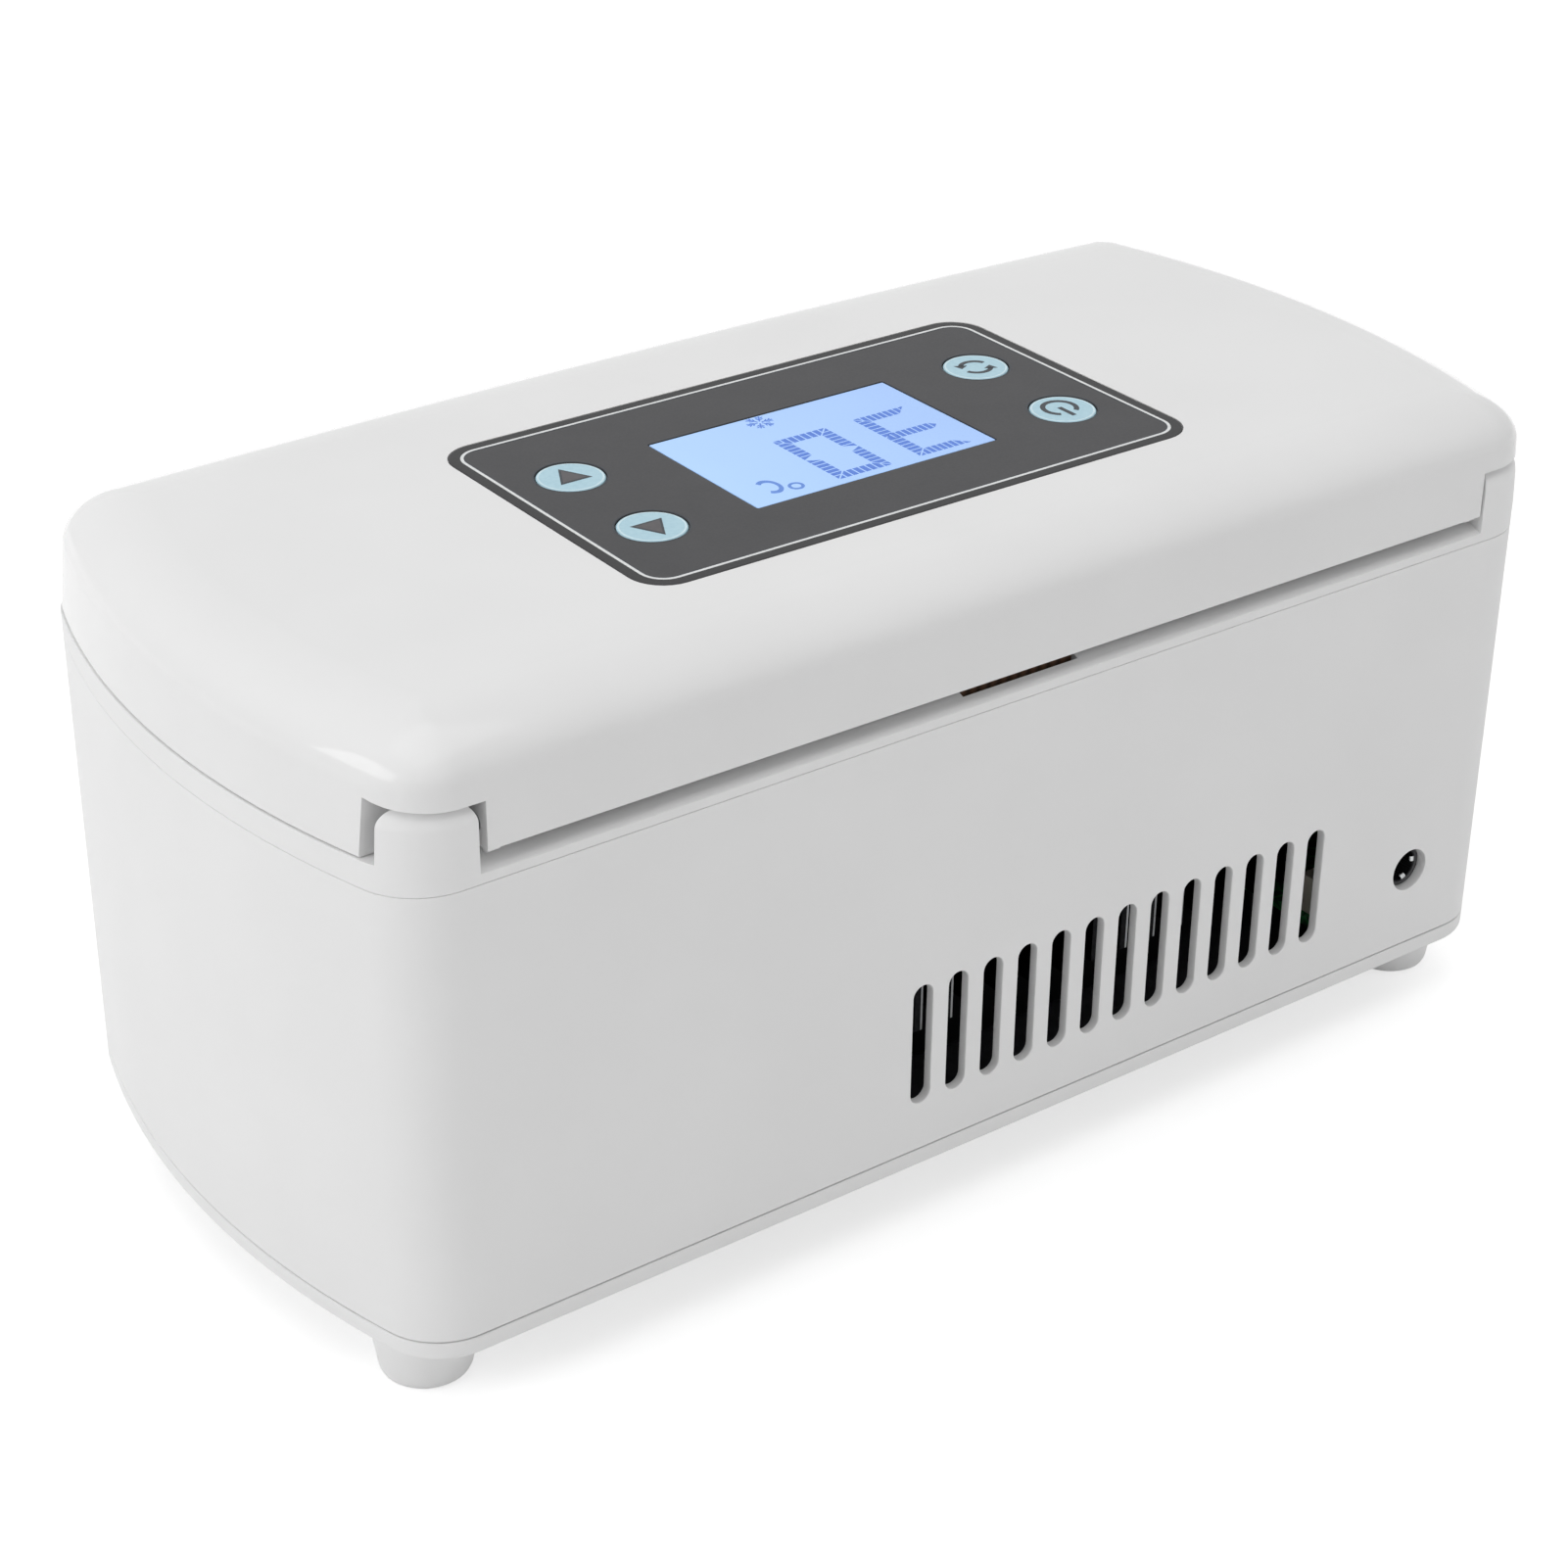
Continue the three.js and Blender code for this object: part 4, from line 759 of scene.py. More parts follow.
stripe_outer, stripe_inner = STRIPE_INSET - STRIPE_WIDTH / 2, STRIPE_INSET + STRIPE_WIDTH / 2
PANEL_BANDS = {
    "panel_pinstripe": (stripe_outer, stripe_inner, silver_print),
    "panel_border": (BORDER_INSET, stripe_outer, border_film),
    "panel_inner_line": (stripe_inner, stripe_inner + LINE_WIDTH, dark_print),
}
for name, (outer, inner, material) in PANEL_BANDS.items():
    printed = print_band(name, panel_outline(-outer), panel_outline(-inner), LID_TOP)
    place(printed, material, "lid", "panel_film")
print("panel:", PANEL_LENGTH, "x", PANEL_WIDTH, "mm")

# %% [markdown]
# ## Display
# The glass sits flush in the window, on a wider plate below it. The two digits are seven-segment figures
# whose bars are broken into short blocks, so each bar is a polygon that is sliced along its length. They
# read upright from the front of the case.

# %% Display glass
LCD_TOP = LID_TOP - 0.1
PLATE_FOOT, PLATE_TOP, PLATE_MARGIN = 109.3, 112.5, 5.2
PLATE_CORNER, GLASS_CORNER = 0.8, 0.3
glass_plan = rounded(LCD_LENGTH, LCD_WIDTH, GLASS_CORNER, 0, PANEL_Y, 4)
plate_plan = rounded(LCD_LENGTH + PLATE_MARGIN, LCD_WIDTH + PLATE_MARGIN, PLATE_CORNER, 0, PANEL_Y, 4)
lcd = loft("display_glass", [(plate_plan, PLATE_FOOT), (plate_plan, PLATE_TOP), (glass_plan, PLATE_TOP),
                             (glass_plan, LCD_TOP)])
place(soften(lcd, width=0.1, segments=2), display, "lid", "lcd", "lcd_module")
print("display glass top at", LCD_TOP)

# %% Display digits
DIGIT_LOW, DIGIT_HIGH = -4.8, 13.5
DIGIT_WIDTH = 10.6
BAR = 2.2
BAR_GAP = 0.2
BLOCK, BLOCK_GAP = 0.88, 0.32
BEYOND = 1.0  # the first and last blocks keep the bar's own ends
DIGITS = {-20.3: "abcdg", -3.9: "abcdef"}  # left edge of the figure: the bars that are lit


def bar_polygon(bar, left):
    """One bar of a seven-segment figure as a convex polygon, with its long direction."""
    low, high, right = DIGIT_LOW, DIGIT_HIGH, left + DIGIT_WIDTH
    mid, g, t = (low + high) / 2, BAR_GAP, BAR
    across = {"a": (high, high - t), "d": (low, low + t)}
    if bar in across:
        outer, inner = across[bar]
        return [(left + g, outer), (right - g, outer), (right - g - t, inner), (left + g + t, inner)], 0
    if bar == "g":
        h = t / 2
        return [(left + g, mid), (left + g + h, mid + h), (right - g - h, mid + h), (right - g, mid),
                (right - g - h, mid - h), (left + g + h, mid - h)], 0
    outer, inner = (right, right - t) if bar in "bc" else (left, left + t)
    start, end = (mid, high) if bar in "bf" else (mid, low)
    sign = 1 if end > start else -1
    return [(outer, end - sign * g), (outer, start + sign * g), (inner, start + sign * (g + t / 2)),
            (inner, end - sign * (g + t))], 1


def clipped(points, axis, limit, keep_low):
    """The part of a convex polygon on one side of a line."""
    kept = []
    inside = [(p[axis] <= limit) == keep_low for p in points]
    for i, p in enumerate(points):
        q = points[(i + 1) % len(points)]
        if inside[i]:
            kept.append(p)
        if inside[i] != inside[(i + 1) % len(points)]:
            f = (limit - p[axis]) / (q[axis] - p[axis])
            kept.append((p[0] + f * (q[0] - p[0]), p[1] + f * (q[1] - p[1])))
    return kept


def marks(name, polygons, foot, material, body, slot):
    """Thin printed polygons on a flat face, as one piece."""
    prints = [slab("mark", points, foot, foot + PRINT) for points in polygons]
    place(gathered(name, prints), material, body, slot)


blocks = []
for left, bars in DIGITS.items():
    for bar in bars:
        polygon, axis = bar_polygon(bar, left)
        start = min(p[axis] for p in polygon)
        end = max(p[axis] for p in polygon)
        count = round((end - start) / (BLOCK + BLOCK_GAP))
        step = (end - start) / count
        for i in range(count):
            low = start + i * step + (BLOCK_GAP / 2 if i else -BEYOND)
            high = start + (i + 1) * step - (BLOCK_GAP / 2 if i < count - 1 else -BEYOND)
            piece = clipped(clipped(polygon, axis, low, False), axis, high, True)
            if len(piece) > 2:
                blocks.append([(x, y + PANEL_Y) for x, y in piece])
marks("display_digits", blocks, LCD_TOP, crystal_mark, "lid", "lcd")

# %% [markdown]
# The smaller marks are a degree sign with its letter, which is narrower than it is high, and a snowflake
# with two pairs of twigs on each ray.

# %% Small display marks
BAND_STEPS = 24
DEGREE_X, DEGREE_Y, DEGREE_RADIUS, DEGREE_PEN = 13.9, PANEL_Y + 11.65, 1.1, 0.55
LETTER_X, LETTER_Y, LETTER_RADIUS, LETTER_PEN = 17.6, PANEL_Y + 9.6, 2.25, 0.95
LETTER_STRETCH, LETTER_START, LETTER_END = 0.72, radians(50), radians(310)
SNOW = Vector((3.5, PANEL_Y - 12.75))
RAY_COUNT, RAY_START, RAY_END, RAY_PEN = 6, 0.4, 2.5, 0.24
TWIGS, TWIG_ALONG, TWIG_ROOT, TWIG_END, TWIG_PEN = (1.1, 1.75), 0.55, 0.14, 0.6, 0.22


def stroke(start, end, width):
    """A straight mark drawn with an even pen."""
    n = Vector((start.y - end.y, end.x - start.x)).normalized() * width / 2
    return [tuple(start - n), tuple(end - n), tuple(end + n), tuple(start + n)]


def band(centre, radius, start, end, width):
    """A curved mark as a row of quads."""
    inner = arc(centre, radius - width / 2, start, end, BAND_STEPS)
    outer = arc(centre, radius + width / 2, start, end, BAND_STEPS)
    return [[inner[i], outer[i], outer[i + 1], inner[i + 1]] for i in range(BAND_STEPS)]


degree = band((DEGREE_X, DEGREE_Y), DEGREE_RADIUS, 0, 2 * pi, DEGREE_PEN)
letter = [[(LETTER_X + (x - LETTER_X) * LETTER_STRETCH, y) for x, y in quad]
          for quad in band((LETTER_X, LETTER_Y), LETTER_RADIUS, LETTER_START, LETTER_END, LETTER_PEN)]
snow = []
for i in range(RAY_COUNT):
    angle = i * 2 * pi / RAY_COUNT
    ray = Vector((cos(angle), sin(angle)))
    across = Vector((-ray.y, ray.x))
    snow.append(stroke(SNOW + ray * RAY_START, SNOW + ray * RAY_END, RAY_PEN))
    for reach in TWIGS:
        for side in (-1, 1):
            root = SNOW + ray * reach + across * side * TWIG_ROOT
            end = SNOW + ray * (reach + TWIG_ALONG) + across * side * TWIG_END
            snow.append(stroke(root, end, TWIG_PEN))
marks("display_unit", degree + letter, LCD_TOP, pale_mark, "lid", "lcd")
marks("display_snowflake", snow, LCD_TOP, crystal_mark, "lid", "lcd")
print("display marks:", len(blocks), "blocks")

# %% [markdown]
# ## Keys
# Each keycap is turned on a lathe: a disc with a softly rounded rim, a retaining flange below the panel
# and a stem over its switch. The symbols are printed: two triangles with a paler middle, a power sign
# and a pair of round arrows for the mode key. A thin dark line is printed round each cap.

# %% Keycaps
KEY_TOP, KEY_RIM = LID_TOP - 0.05, 0.25
STEM_FOOT, STEM_RADIUS = 110.9, 2.0
FLANGE_FOOT, FLANGE_TOP, FLANGE_REACH = 111.55, 112.55, 1.2
RIM_HIGHLIGHT_WIDTH, LINE_START, LINE_STOP = 0.3, 0.1, 0.34
TRIANGLE_HALF, TRIANGLE_FOOT, TRIANGLE_TIP, TRIANGLE_EDGE = 2.95, 1.8, 3.75, 0.22
POWER_DROP, POWER_RADIUS, POWER_PEN = 0.8, 2.85, 0.9
POWER_START, POWER_END = radians(125), radians(415)
POWER_LOW, POWER_HIGH = -0.9, 3.1
ARROW_RADIUS, ARROW_PEN, ARROW_HEAD, ARROW_HEAD_SHARE = 2.6, 0.85, 1.5, 0.8
ARROW_START, ARROW_END, ARROW_TIP, ARROW_TURN = 20, 140, radians(28), 0.24


def keycap(name, x, y):
    """A cap with its rim, flange and stem."""
    flange = KEY_RADIUS + FLANGE_REACH
    profile = [(0, STEM_FOOT), (STEM_RADIUS, STEM_FOOT), (STEM_RADIUS, FLANGE_FOOT), (flange, FLANGE_FOOT),
               (flange, FLANGE_TOP), (KEY_RADIUS, FLANGE_TOP)]
    profile += upper_edge(lambda inset: KEY_RADIUS - inset, KEY_RIM, KEY_TOP, 4)
    return turn(name, profile + [(0, KEY_TOP)], (x, y, 0))


def arrow_head(tip, direction):
    """A small triangle at the end of a round arrow."""
    along = Vector(direction).normalized() * ARROW_HEAD
    across = Vector((-along.y, along.x)) * ARROW_HEAD_SHARE
    base = Vector(tip) - along
    return [tuple(Vector(tip)), tuple(base + across), tuple(base - across)]


def key_symbol(name, x, y):
    """The printed sign of a key, as polygons."""
    if name in ("up", "down"):
        way = 1 if name == "up" else -1
        half, foot = TRIANGLE_HALF * way, y - TRIANGLE_FOOT * way
        return [[(x - half, foot), (x + half, foot), (x, y + TRIANGLE_TIP * way)]]
    if name == "power":
        ring = band((x, y - POWER_DROP), POWER_RADIUS, POWER_START, POWER_END, POWER_PEN)
        left, right, low, high = x - POWER_PEN / 2, x + POWER_PEN / 2, y + POWER_LOW, y + POWER_HIGH
        return ring + [[(left, low), (right, low), (right, high), (left, high)]]
    arrows = []
    for turned in (0, 180):
        start, end = radians(turned + ARROW_START), radians(turned + ARROW_END)
        arrows += band((x, y), ARROW_RADIUS, start, end, ARROW_PEN)
        tip = (x + ARROW_RADIUS * cos(end + ARROW_TIP), y + ARROW_RADIUS * sin(end + ARROW_TIP))
        arrows.append(arrow_head(tip, (-sin(end + ARROW_TURN), cos(end + ARROW_TURN))))
    return arrows


for name, (x, offset) in KEYS.items():
    y = PANEL_Y + offset
    key = "key_" + name
    place(soften(keycap("keycap_" + name, x, y)), keycap_silicone, key, "keycap", key)
    symbol = key_symbol(name, x, y)
    marks("symbol_" + name, symbol, KEY_TOP, dark_print, key, "keycap")
    if len(symbol) == 1:
        centre = sum(py for px, py in symbol[0]) / 3
        fill = [(px + (x - px) * TRIANGLE_EDGE, py + (centre - py) * TRIANGLE_EDGE) for px, py in symbol[0]]
        marks("symbol_fill_" + name, [fill], KEY_TOP + PRINT, grey_print, key, "keycap")
    # Painted highlight: a paler band just inside each cap's rounded top edge.
    rim = KEY_RADIUS - KEY_RIM
    outer, inner = circle(x, y, rim), circle(x, y, rim - RIM_HIGHLIGHT_WIDTH)
    place(print_band("key_rim_highlight_" + name, outer, inner, KEY_TOP), keycap_rim_highlight, key, "keycap")
    hole = KEY_RADIUS + PANEL_GAP
    outer, inner = circle(x, y, hole + LINE_STOP), circle(x, y, hole + LINE_START)
    place(print_band("key_outline_" + name, outer, inner, LID_TOP), dark_print, "lid", "panel_film")
print("keys:", ", ".join(KEYS))

# %% [markdown]
# ## Collar and hinge posts
# The collar carries the lid. It is skinned to the height of the hinge posts, and one T-shaped tool then
# takes away all but the posts, with flared sides that leave the posts' tops rounded. The chamber's
# mouth, the recess under the lid's rear edge, the cable slot and the finger scoop are cut after that.

# %% Collar
COLLAR_FOOT, COLLAR_TOP = 91.46, 96.0
POST_TOP, POST_ROUND, POST_REACH = 103.7, 2.6, 9.0
POST_FRONT_SHARE, POST_LEAN = 0.4, 0.6
EDGE = 0.14
CUT_LOW, CUT_HIGH = 80.0, 110.0  # heights below and above all that is cut
RECESS_FLOOR, RECESS_RISE, RECESS_Y, RECESS_BEND = 93.1, 94.5, 50.4, 54.0
CHAMBER_LENGTH, CHAMBER_WIDTH, CHAMBER_CORNER = 182.0, 60.0, 6.0
MOUTH_GAP, MOUTH_HIGH, REBATE_GAP, REBATE_FLOOR = 1.45, 100.0, 4.45, 94.7
CABLE_X, CABLE_SPAN, CABLE_GAP = 0.4, 22.2, 0.4
CABLE_SLOT_FRONT, CABLE_SLOT_REAR = 0.65, 1.35
SCOOP_HALF, SCOOP_DEPTH = 20.0, 2.2


def chamber_outline(growth):
    """The chamber seen from above, grown on all sides."""
    return rounded(CHAMBER_LENGTH + 2 * growth, CHAMBER_WIDTH + 2 * growth, CHAMBER_CORNER + growth)


def chamber_inset(gap):
    """Gives the chamber's outline for an inset that is counted from a gap inside it."""
    return lambda inset: chamber_outline(-gap - inset)


def all_but_posts(growth):
    """The T-shaped tool's outline: all of the case except the posts at its rear corners."""
    x, y = POST_X + growth, POST_Y + growth * POST_FRONT_SHARE
    side = 2 * FAR
    return [(-side, -FAR), (side, -FAR), (side, y), (x, y), (x, FAR), (-x, FAR), (-x, y), (-side, y)]


def post_share(z):
    """How far up the posts a height is, from 0 to 1."""
    return max(0, (z - COLLAR_TOP) / (POST_TOP - COLLAR_TOP))


def raised(points, z):
    """Lifts the posts' tops away from the rear, to follow the lid's notches."""
    climb = NOTCH_SLOPE * post_share(z)
    return [(x, y, z + climb * max(0, min(REAR - y, POST_REACH))) for x, y in points]


def leaning(points, z):
    """Lets the posts' end walls lean in towards their tops."""
    return [(x * (1 - POST_LEAN * post_share(z) * 2 / CASE_LENGTH), y) for x, y in points]


rows = [raised(points, z) for points, z in lower_edge(outline, EDGE, COLLAR_FOOT, 3)]
rows.append(raised(outline(0), COLLAR_TOP))
rows += [raised(leaning(points, z), z) for points, z in upper_edge(outline, POST_ROUND, POST_TOP, 10)]
tool = [raised(all_but_posts(0), COLLAR_TOP)]
tool += [raised(points, z) for points, z in upper_edge(all_but_posts, POST_ROUND, POST_TOP, 10)]
tool.append(raised(all_but_posts(POST_ROUND), POST_TOP + PAST))
collar = skin("collar_moulding", rows)
cut(collar, skin("tool", tool))
cut(collar, slab("mouth", chamber_outline(MOUTH_GAP), CUT_LOW, MOUTH_HIGH))
cut(collar, slab("rebate", chamber_outline(REBATE_GAP), REBATE_FLOOR, MOUTH_HIGH))
recess = [(RECESS_Y, RECESS_RISE), (RECESS_BEND, RECESS_RISE), (REAR, RECESS_FLOOR), (FAR, RECESS_FLOOR),
          (FAR, CUT_HIGH), (RECESS_Y, CUT_HIGH)]
cut(collar, drawn_along_x("recess", recess, -POST_X, POST_X))
slot_half = CABLE_SPAN / 2 + CABLE_GAP
slot_low = (CABLE_X - slot_half, HINGE_Y - CABLE_SLOT_FRONT, CUT_LOW)
slot_high = (CABLE_X + slot_half, HINGE_Y + CABLE_SLOT_REAR, CUT_HIGH)
cut(collar, block("slot", slot_low, slot_high))
scoop_radius = (SCOOP_HALF ** 2 + SCOOP_DEPTH ** 2) / (2 * SCOOP_DEPTH)
scoop_place = (0, SCOOP_DEPTH - scoop_radius - REAR, 0)
cut(collar, rod("scoop", scoop_radius, CUT_LOW, CUT_HIGH, scoop_place, steps=180))
place(soften(collar, width=0.18), satin_abs, "case", "casing", "collar")
print("collar:", len(collar.data.polygons), "faces")

# %% [markdown]
# ## Body and vents
# The body is a plain tube of the case outline with rounded rims. The vents are tall slots with round
# ends in the flat rear wall; they and the power inlet's hole are cut through in one go, so their edges
# get the same small moulding radius. Behind the vents the wall is thinned.

# %% Body shell
BODY_FOOT, BODY_TOP, BODY_WALL = 14.3, 91.4, 2.5
VENT_COUNT, VENT_PITCH, VENT_WIDTH, VENT_HEIGHT = 13, 7.167, 4.0, 22.4
VENT_X, VENT_Z, VENT_WALL = SINK_X, 34.4, 1.9
RELIEF_ENDS, RELIEF_TOP = 1.0, 2.0  # how far the thinned wall passes the vents
JACK_X, JACK_Z, JACK_HOLE = -91.35, 29.5, 4.0
THROUGH = (REAR - 4.0, REAR + 2.0)

rings = lower_edge(outline, EDGE, BODY_FOOT, 3) + upper_edge(outline, EDGE, BODY_TOP, 3)
rings += [(outline(BODY_WALL), BODY_TOP), (outline(BODY_WALL), BODY_FOOT)]
body = loft("body_moulding", rings, loop=True)
tools = []
reach = (VENT_HEIGHT - VENT_WIDTH) / 2
for offset in spaced(VENT_COUNT, VENT_PITCH):
    x = VENT_X + offset
    plan = (arc((x, VENT_Z + reach), VENT_WIDTH / 2, 0, pi, 12)
            + arc((x, VENT_Z - reach), VENT_WIDTH / 2, pi, 2 * pi, 12))
    tools.append(skin("vent", [[(u, y, v) for u, v in plan] for y in THROUGH]))
inlet = (JACK_X, 0, JACK_Z)
tools.append(rod("inlet", JACK_HOLE, *THROUGH, inlet, "Y", 48))
cut(body, gathered("openings", tools))
relief_x, relief_z = VENT_COUNT * VENT_PITCH / 2 + RELIEF_ENDS, VENT_HEIGHT / 2 + RELIEF_TOP
cut(body, block("relief", (VENT_X - relief_x, REAR - 2 * BODY_WALL, VENT_Z - relief_z),
                (VENT_X + relief_x, REAR - VENT_WALL, VENT_Z + relief_z)))
place(soften(body, width=0.22), satin_abs, "case", "casing", "body_shell")
print("body:", VENT_COUNT, "vents,", len(body.data.polygons), "faces")

# %% [markdown]
# ## Power inlet
# A barrel socket stands behind its hole: a black ring with a rounded face, two spring contacts in the
# bore and a centre pin with a round tip. The profiles are given as radius and y.

# %% Power inlet
INLET_RING = [(3.1, 46.5), (3.1, 55.35), (3.2, 55.55), (3.35, 55.7), (3.65, 55.7), (3.8, 55.6), (3.9, 55.35),
              (3.9, 46.5)]
PIN_RADIUS, PIN_BACK, PIN_ROUND_FROM = 1.0, 42.65, 49.85
SPRING = [(3.0, 46.8), (2.9, 50.4), (2.6, 53.8), (2.42, 54.4), (2.36, 54.7), (2.4, 54.95), (2.55, 55.2),
          (2.8, 55.4), (3.05, 55.45)]
SPRING_HALF, SPRING_THICK = 0.5, 0.12
SPRINGS = {"below": 252, "side": 172}  # degrees round the bore

bezel = turn("inlet_ring", INLET_RING, inlet, "Y", ring=True)
place(soften(bezel), gloss_nylon, "case", "black_plastic")
round_tip = [(PIN_RADIUS * cos(a), PIN_ROUND_FROM + PIN_RADIUS * sin(a)) for a in quarter(6)]
pin = turn("inlet_pin", [(0, PIN_BACK), (PIN_RADIUS, PIN_BACK)] + round_tip, inlet, "Y", 32)
place(soften(pin), nickel_steel, "case", "steel", "power_jack_pin")
corners = ((-SPRING_HALF, 0), (SPRING_HALF, 0), (SPRING_HALF, SPRING_THICK), (-SPRING_HALF, SPRING_THICK))
for name, degrees in SPRINGS.items():
    out = Vector((cos(radians(degrees)), 0, sin(radians(degrees))))
    across = Vector((-out.z, 0, out.x))
    rows = []
    for radius, y in SPRING:
        spine = Vector((JACK_X, y, JACK_Z))
        rows.append([spine + out * (radius + v) + across * u for u, v in corners])
    place(soften(skin("inlet_contact_" + name, rows)), nickel_steel, "case", "steel")
print("power inlet at x", JACK_X)

# %% [markdown]
# ## Base cover and feet
# The base cover closes the body from below, with a rounded lower edge and an intake grille under the
# fan. Each foot is turned: a tapered stud with a rounded rim, a fillet where it meets the cover, and a
# bore for the screw that holds foot, cover and body together.

# %% Base cover
BASE_FOOT, BASE_TOP, BASE_FLOOR, BASE_ROUND, BASE_RIM = 10.8, 14.0, 13.2, 0.8, 0.2
FAN_Y = 8.0
GRILLE_COUNT, GRILLE_PITCH, GRILLE_LENGTH, GRILLE_WIDTH = 7, 6.6, 44.0, 3.4
GRILLE_LOW, GRILLE_HIGH, GRILLE_FLAT = 5.0, 20.0, 0.01
FACES_UP, FLOOR_NEAR = 0.9, 0.1

rings = lower_edge(outline, BASE_ROUND, BASE_FOOT, 6) + upper_edge(outline, BASE_RIM, BASE_TOP, 2)
rings += [(outline(BODY_WALL), BASE_TOP), (outline(BODY_WALL), BASE_FLOOR)]
base = loft("base_moulding", rings)
tools = []
for offset in spaced(GRILLE_COUNT, GRILLE_PITCH):
    plan = rounded(GRILLE_LENGTH, GRILLE_WIDTH, GRILLE_WIDTH / 2 - GRILLE_FLAT, VENT_X, FAN_Y + offset, 6)
    tools.append(slab("grille", plan, GRILLE_LOW, GRILLE_HIGH))
cut(base, gathered("openings", tools))
place(soften(base, width=0.2), satin_abs, "case", "casing", "base_cover")
# Painted shade: a dark foam sheet on the base's inside floor darkens what shows through the vents.
base.data.materials.append(foam)
for face in base.data.polygons:  # painted shade: the inside floor gets dark foam, so that all seen behind the vents is black
    if face.normal.z > FACES_UP and abs(face.center.z / MM - BASE_FLOOR) < FLOOR_NEAR:
        face.material_index = 1

# %% Feet and screws
FEET = four_corners(104.0, -39.7, 42.7)
FOOT_PROFILE = [(1.75, 6.0), (3.4, 6.0), (3.4, 0.25), (3.6, 0.0), (5.8, 0.0), (6.5, 0.14), (7.05, 0.55),
                (7.35, 1.15), (7.5, 1.9), (8.35, 8.0), (8.55, 9.2), (8.9, 10.0), (9.5, 10.6), (9.7, 10.78),
                (1.75, 10.78)]
BASE_SCREW = {"face": 5.75, "head_radius": 3.0, "head_height": 1.8, "shank_radius": 1.5, "length": 20.0}
CROSS_ARM, CROSS_HALF, CROSS_DEPTH = 0.55, 0.11, 0.45  # shares of the head's radius and height


def pan_head(name, x, y, face, head_radius, head_height, shank_radius, length):
    """A screw that points up: a domed head with a cross recess, and a plain shank."""
    dome = [(head_radius * sin(a), -head_height * cos(a) ** 2) for a in quarter(6)]
    profile = [(0, -head_height)] + dome[1:] + [(shank_radius, 0), (shank_radius, length), (0, length)]
    screw = turn(name, profile, (x, y, face), steps=40)
    arm, half = head_radius * CROSS_ARM, head_radius * CROSS_HALF
    low, high = face - head_height - 1, face - head_height * CROSS_DEPTH
    cross = block("cross", (x - arm, y - half, low), (x + arm, y + half, high))
    cut(cross, block("bar", (x - half, y - arm, low), (x + half, y + arm, high)), "UNION")
    cut(screw, cross)
    return soften(screw)


for name, (x, y) in FEET.items():
    foot = turn("foot_stud_" + name, FOOT_PROFILE, (x, y, 0), ring=True)
    place(soften(foot, angle=50), satin_abs, "case", "casing", "foot_" + name)
    screw = pan_head("base_fixing_" + name, x, y, **BASE_SCREW)
    place(screw, nickel_steel, "case", "steel", "base_screw_" + name)
print("feet:", len(FEET))

# %% [markdown]
# ## Inside the lid
# With the lid open, the liner, its plug, the gasket and four screws show. The liner is a plate of the
# case outline joined to a plug with generous corners; the gasket is a soft ring with a rounded lip.

# %% Lid liner, gasket and screws
LINER_FOOT, LINER_TOP, LINER_GAP = 97.6, 99.6, 0.4
LINER_REAR = NOTCH_Y - LID_WALL - LINER_GAP
PLUG_FOOT, PLUG_ROUND, PLUG_GAP, PLUG_WALL = 92.0, 2.5, 1.5, 2.0
LINER_SCREWS = four_corners(99.5, -36.0, 30.0)
LINER_SCREW = {"face": 98.35, "head_radius": 2.6, "head_height": 0.65, "shank_radius": 1.2, "length": 7.5}
SOCKET_HEAD, SOCKET_SHANK, SOCKET_FLOOR = 2.85, 1.45, 98.6
LIP_PROFILE = [(2.8, 97.35), (2.8, 96.7), (3.0, 96.42), (3.4, 96.27), (4.0, 96.25), (4.6, 96.27),
               (5.0, 96.42), (5.2, 96.7), (5.2, 97.35)]  # growth of the chamber's outline, and height

liner = slab("liner_moulding", outline(LID_INSET + LID_WALL + LINER_GAP), LINER_FOOT, LINER_TOP)
cut(liner, block("rear", (-2 * FAR, LINER_REAR, CUT_LOW), (2 * FAR, FAR, CUT_HIGH)))
plug_outline = chamber_inset(PLUG_GAP)
rings = lower_edge(plug_outline, PLUG_ROUND, PLUG_FOOT, 6)
cut(liner, loft("plug", rings + [(plug_outline(0), LINER_TOP)]), "UNION")
cut(liner, slab("hollow", plug_outline(PLUG_WALL), PLUG_FOOT + PLUG_WALL, LINER_TOP + 1))
socket_profile = [(0, CUT_LOW), (SOCKET_HEAD, CUT_LOW), (SOCKET_HEAD, SOCKET_FLOOR),
                  (SOCKET_SHANK, SOCKET_FLOOR), (SOCKET_SHANK, CUT_HIGH), (0, CUT_HIGH)]
sockets = [turn("socket", socket_profile, (x, y, 0), steps=40) for x, y in LINER_SCREWS.values()]
cut(liner, gathered("sockets", sockets))
place(soften(liner, width=0.3), inner_abs, "lid", "casing", "lid_liner")
for name, (x, y) in LINER_SCREWS.items():
    screw = pan_head("liner_fixing_" + name, x, y, **LINER_SCREW)
    place(screw, nickel_steel, "lid", "steel", "liner_screw_" + name)
gasket = loft("gasket_ring", [(chamber_outline(growth), z) for growth, z in LIP_PROFILE], loop=True)
place(soften(gasket, angle=50), gasket_silicone, "lid", "gasket", "lid_gasket")
print("lid liner and gasket ready")

# %% [markdown]
# ## Cold chamber
# The tub is drawn from one aluminium sheet, so its floor and its rim turn in soft radii. It is skinned
# from the outside of the floor, up and over the flange, and down the inside.

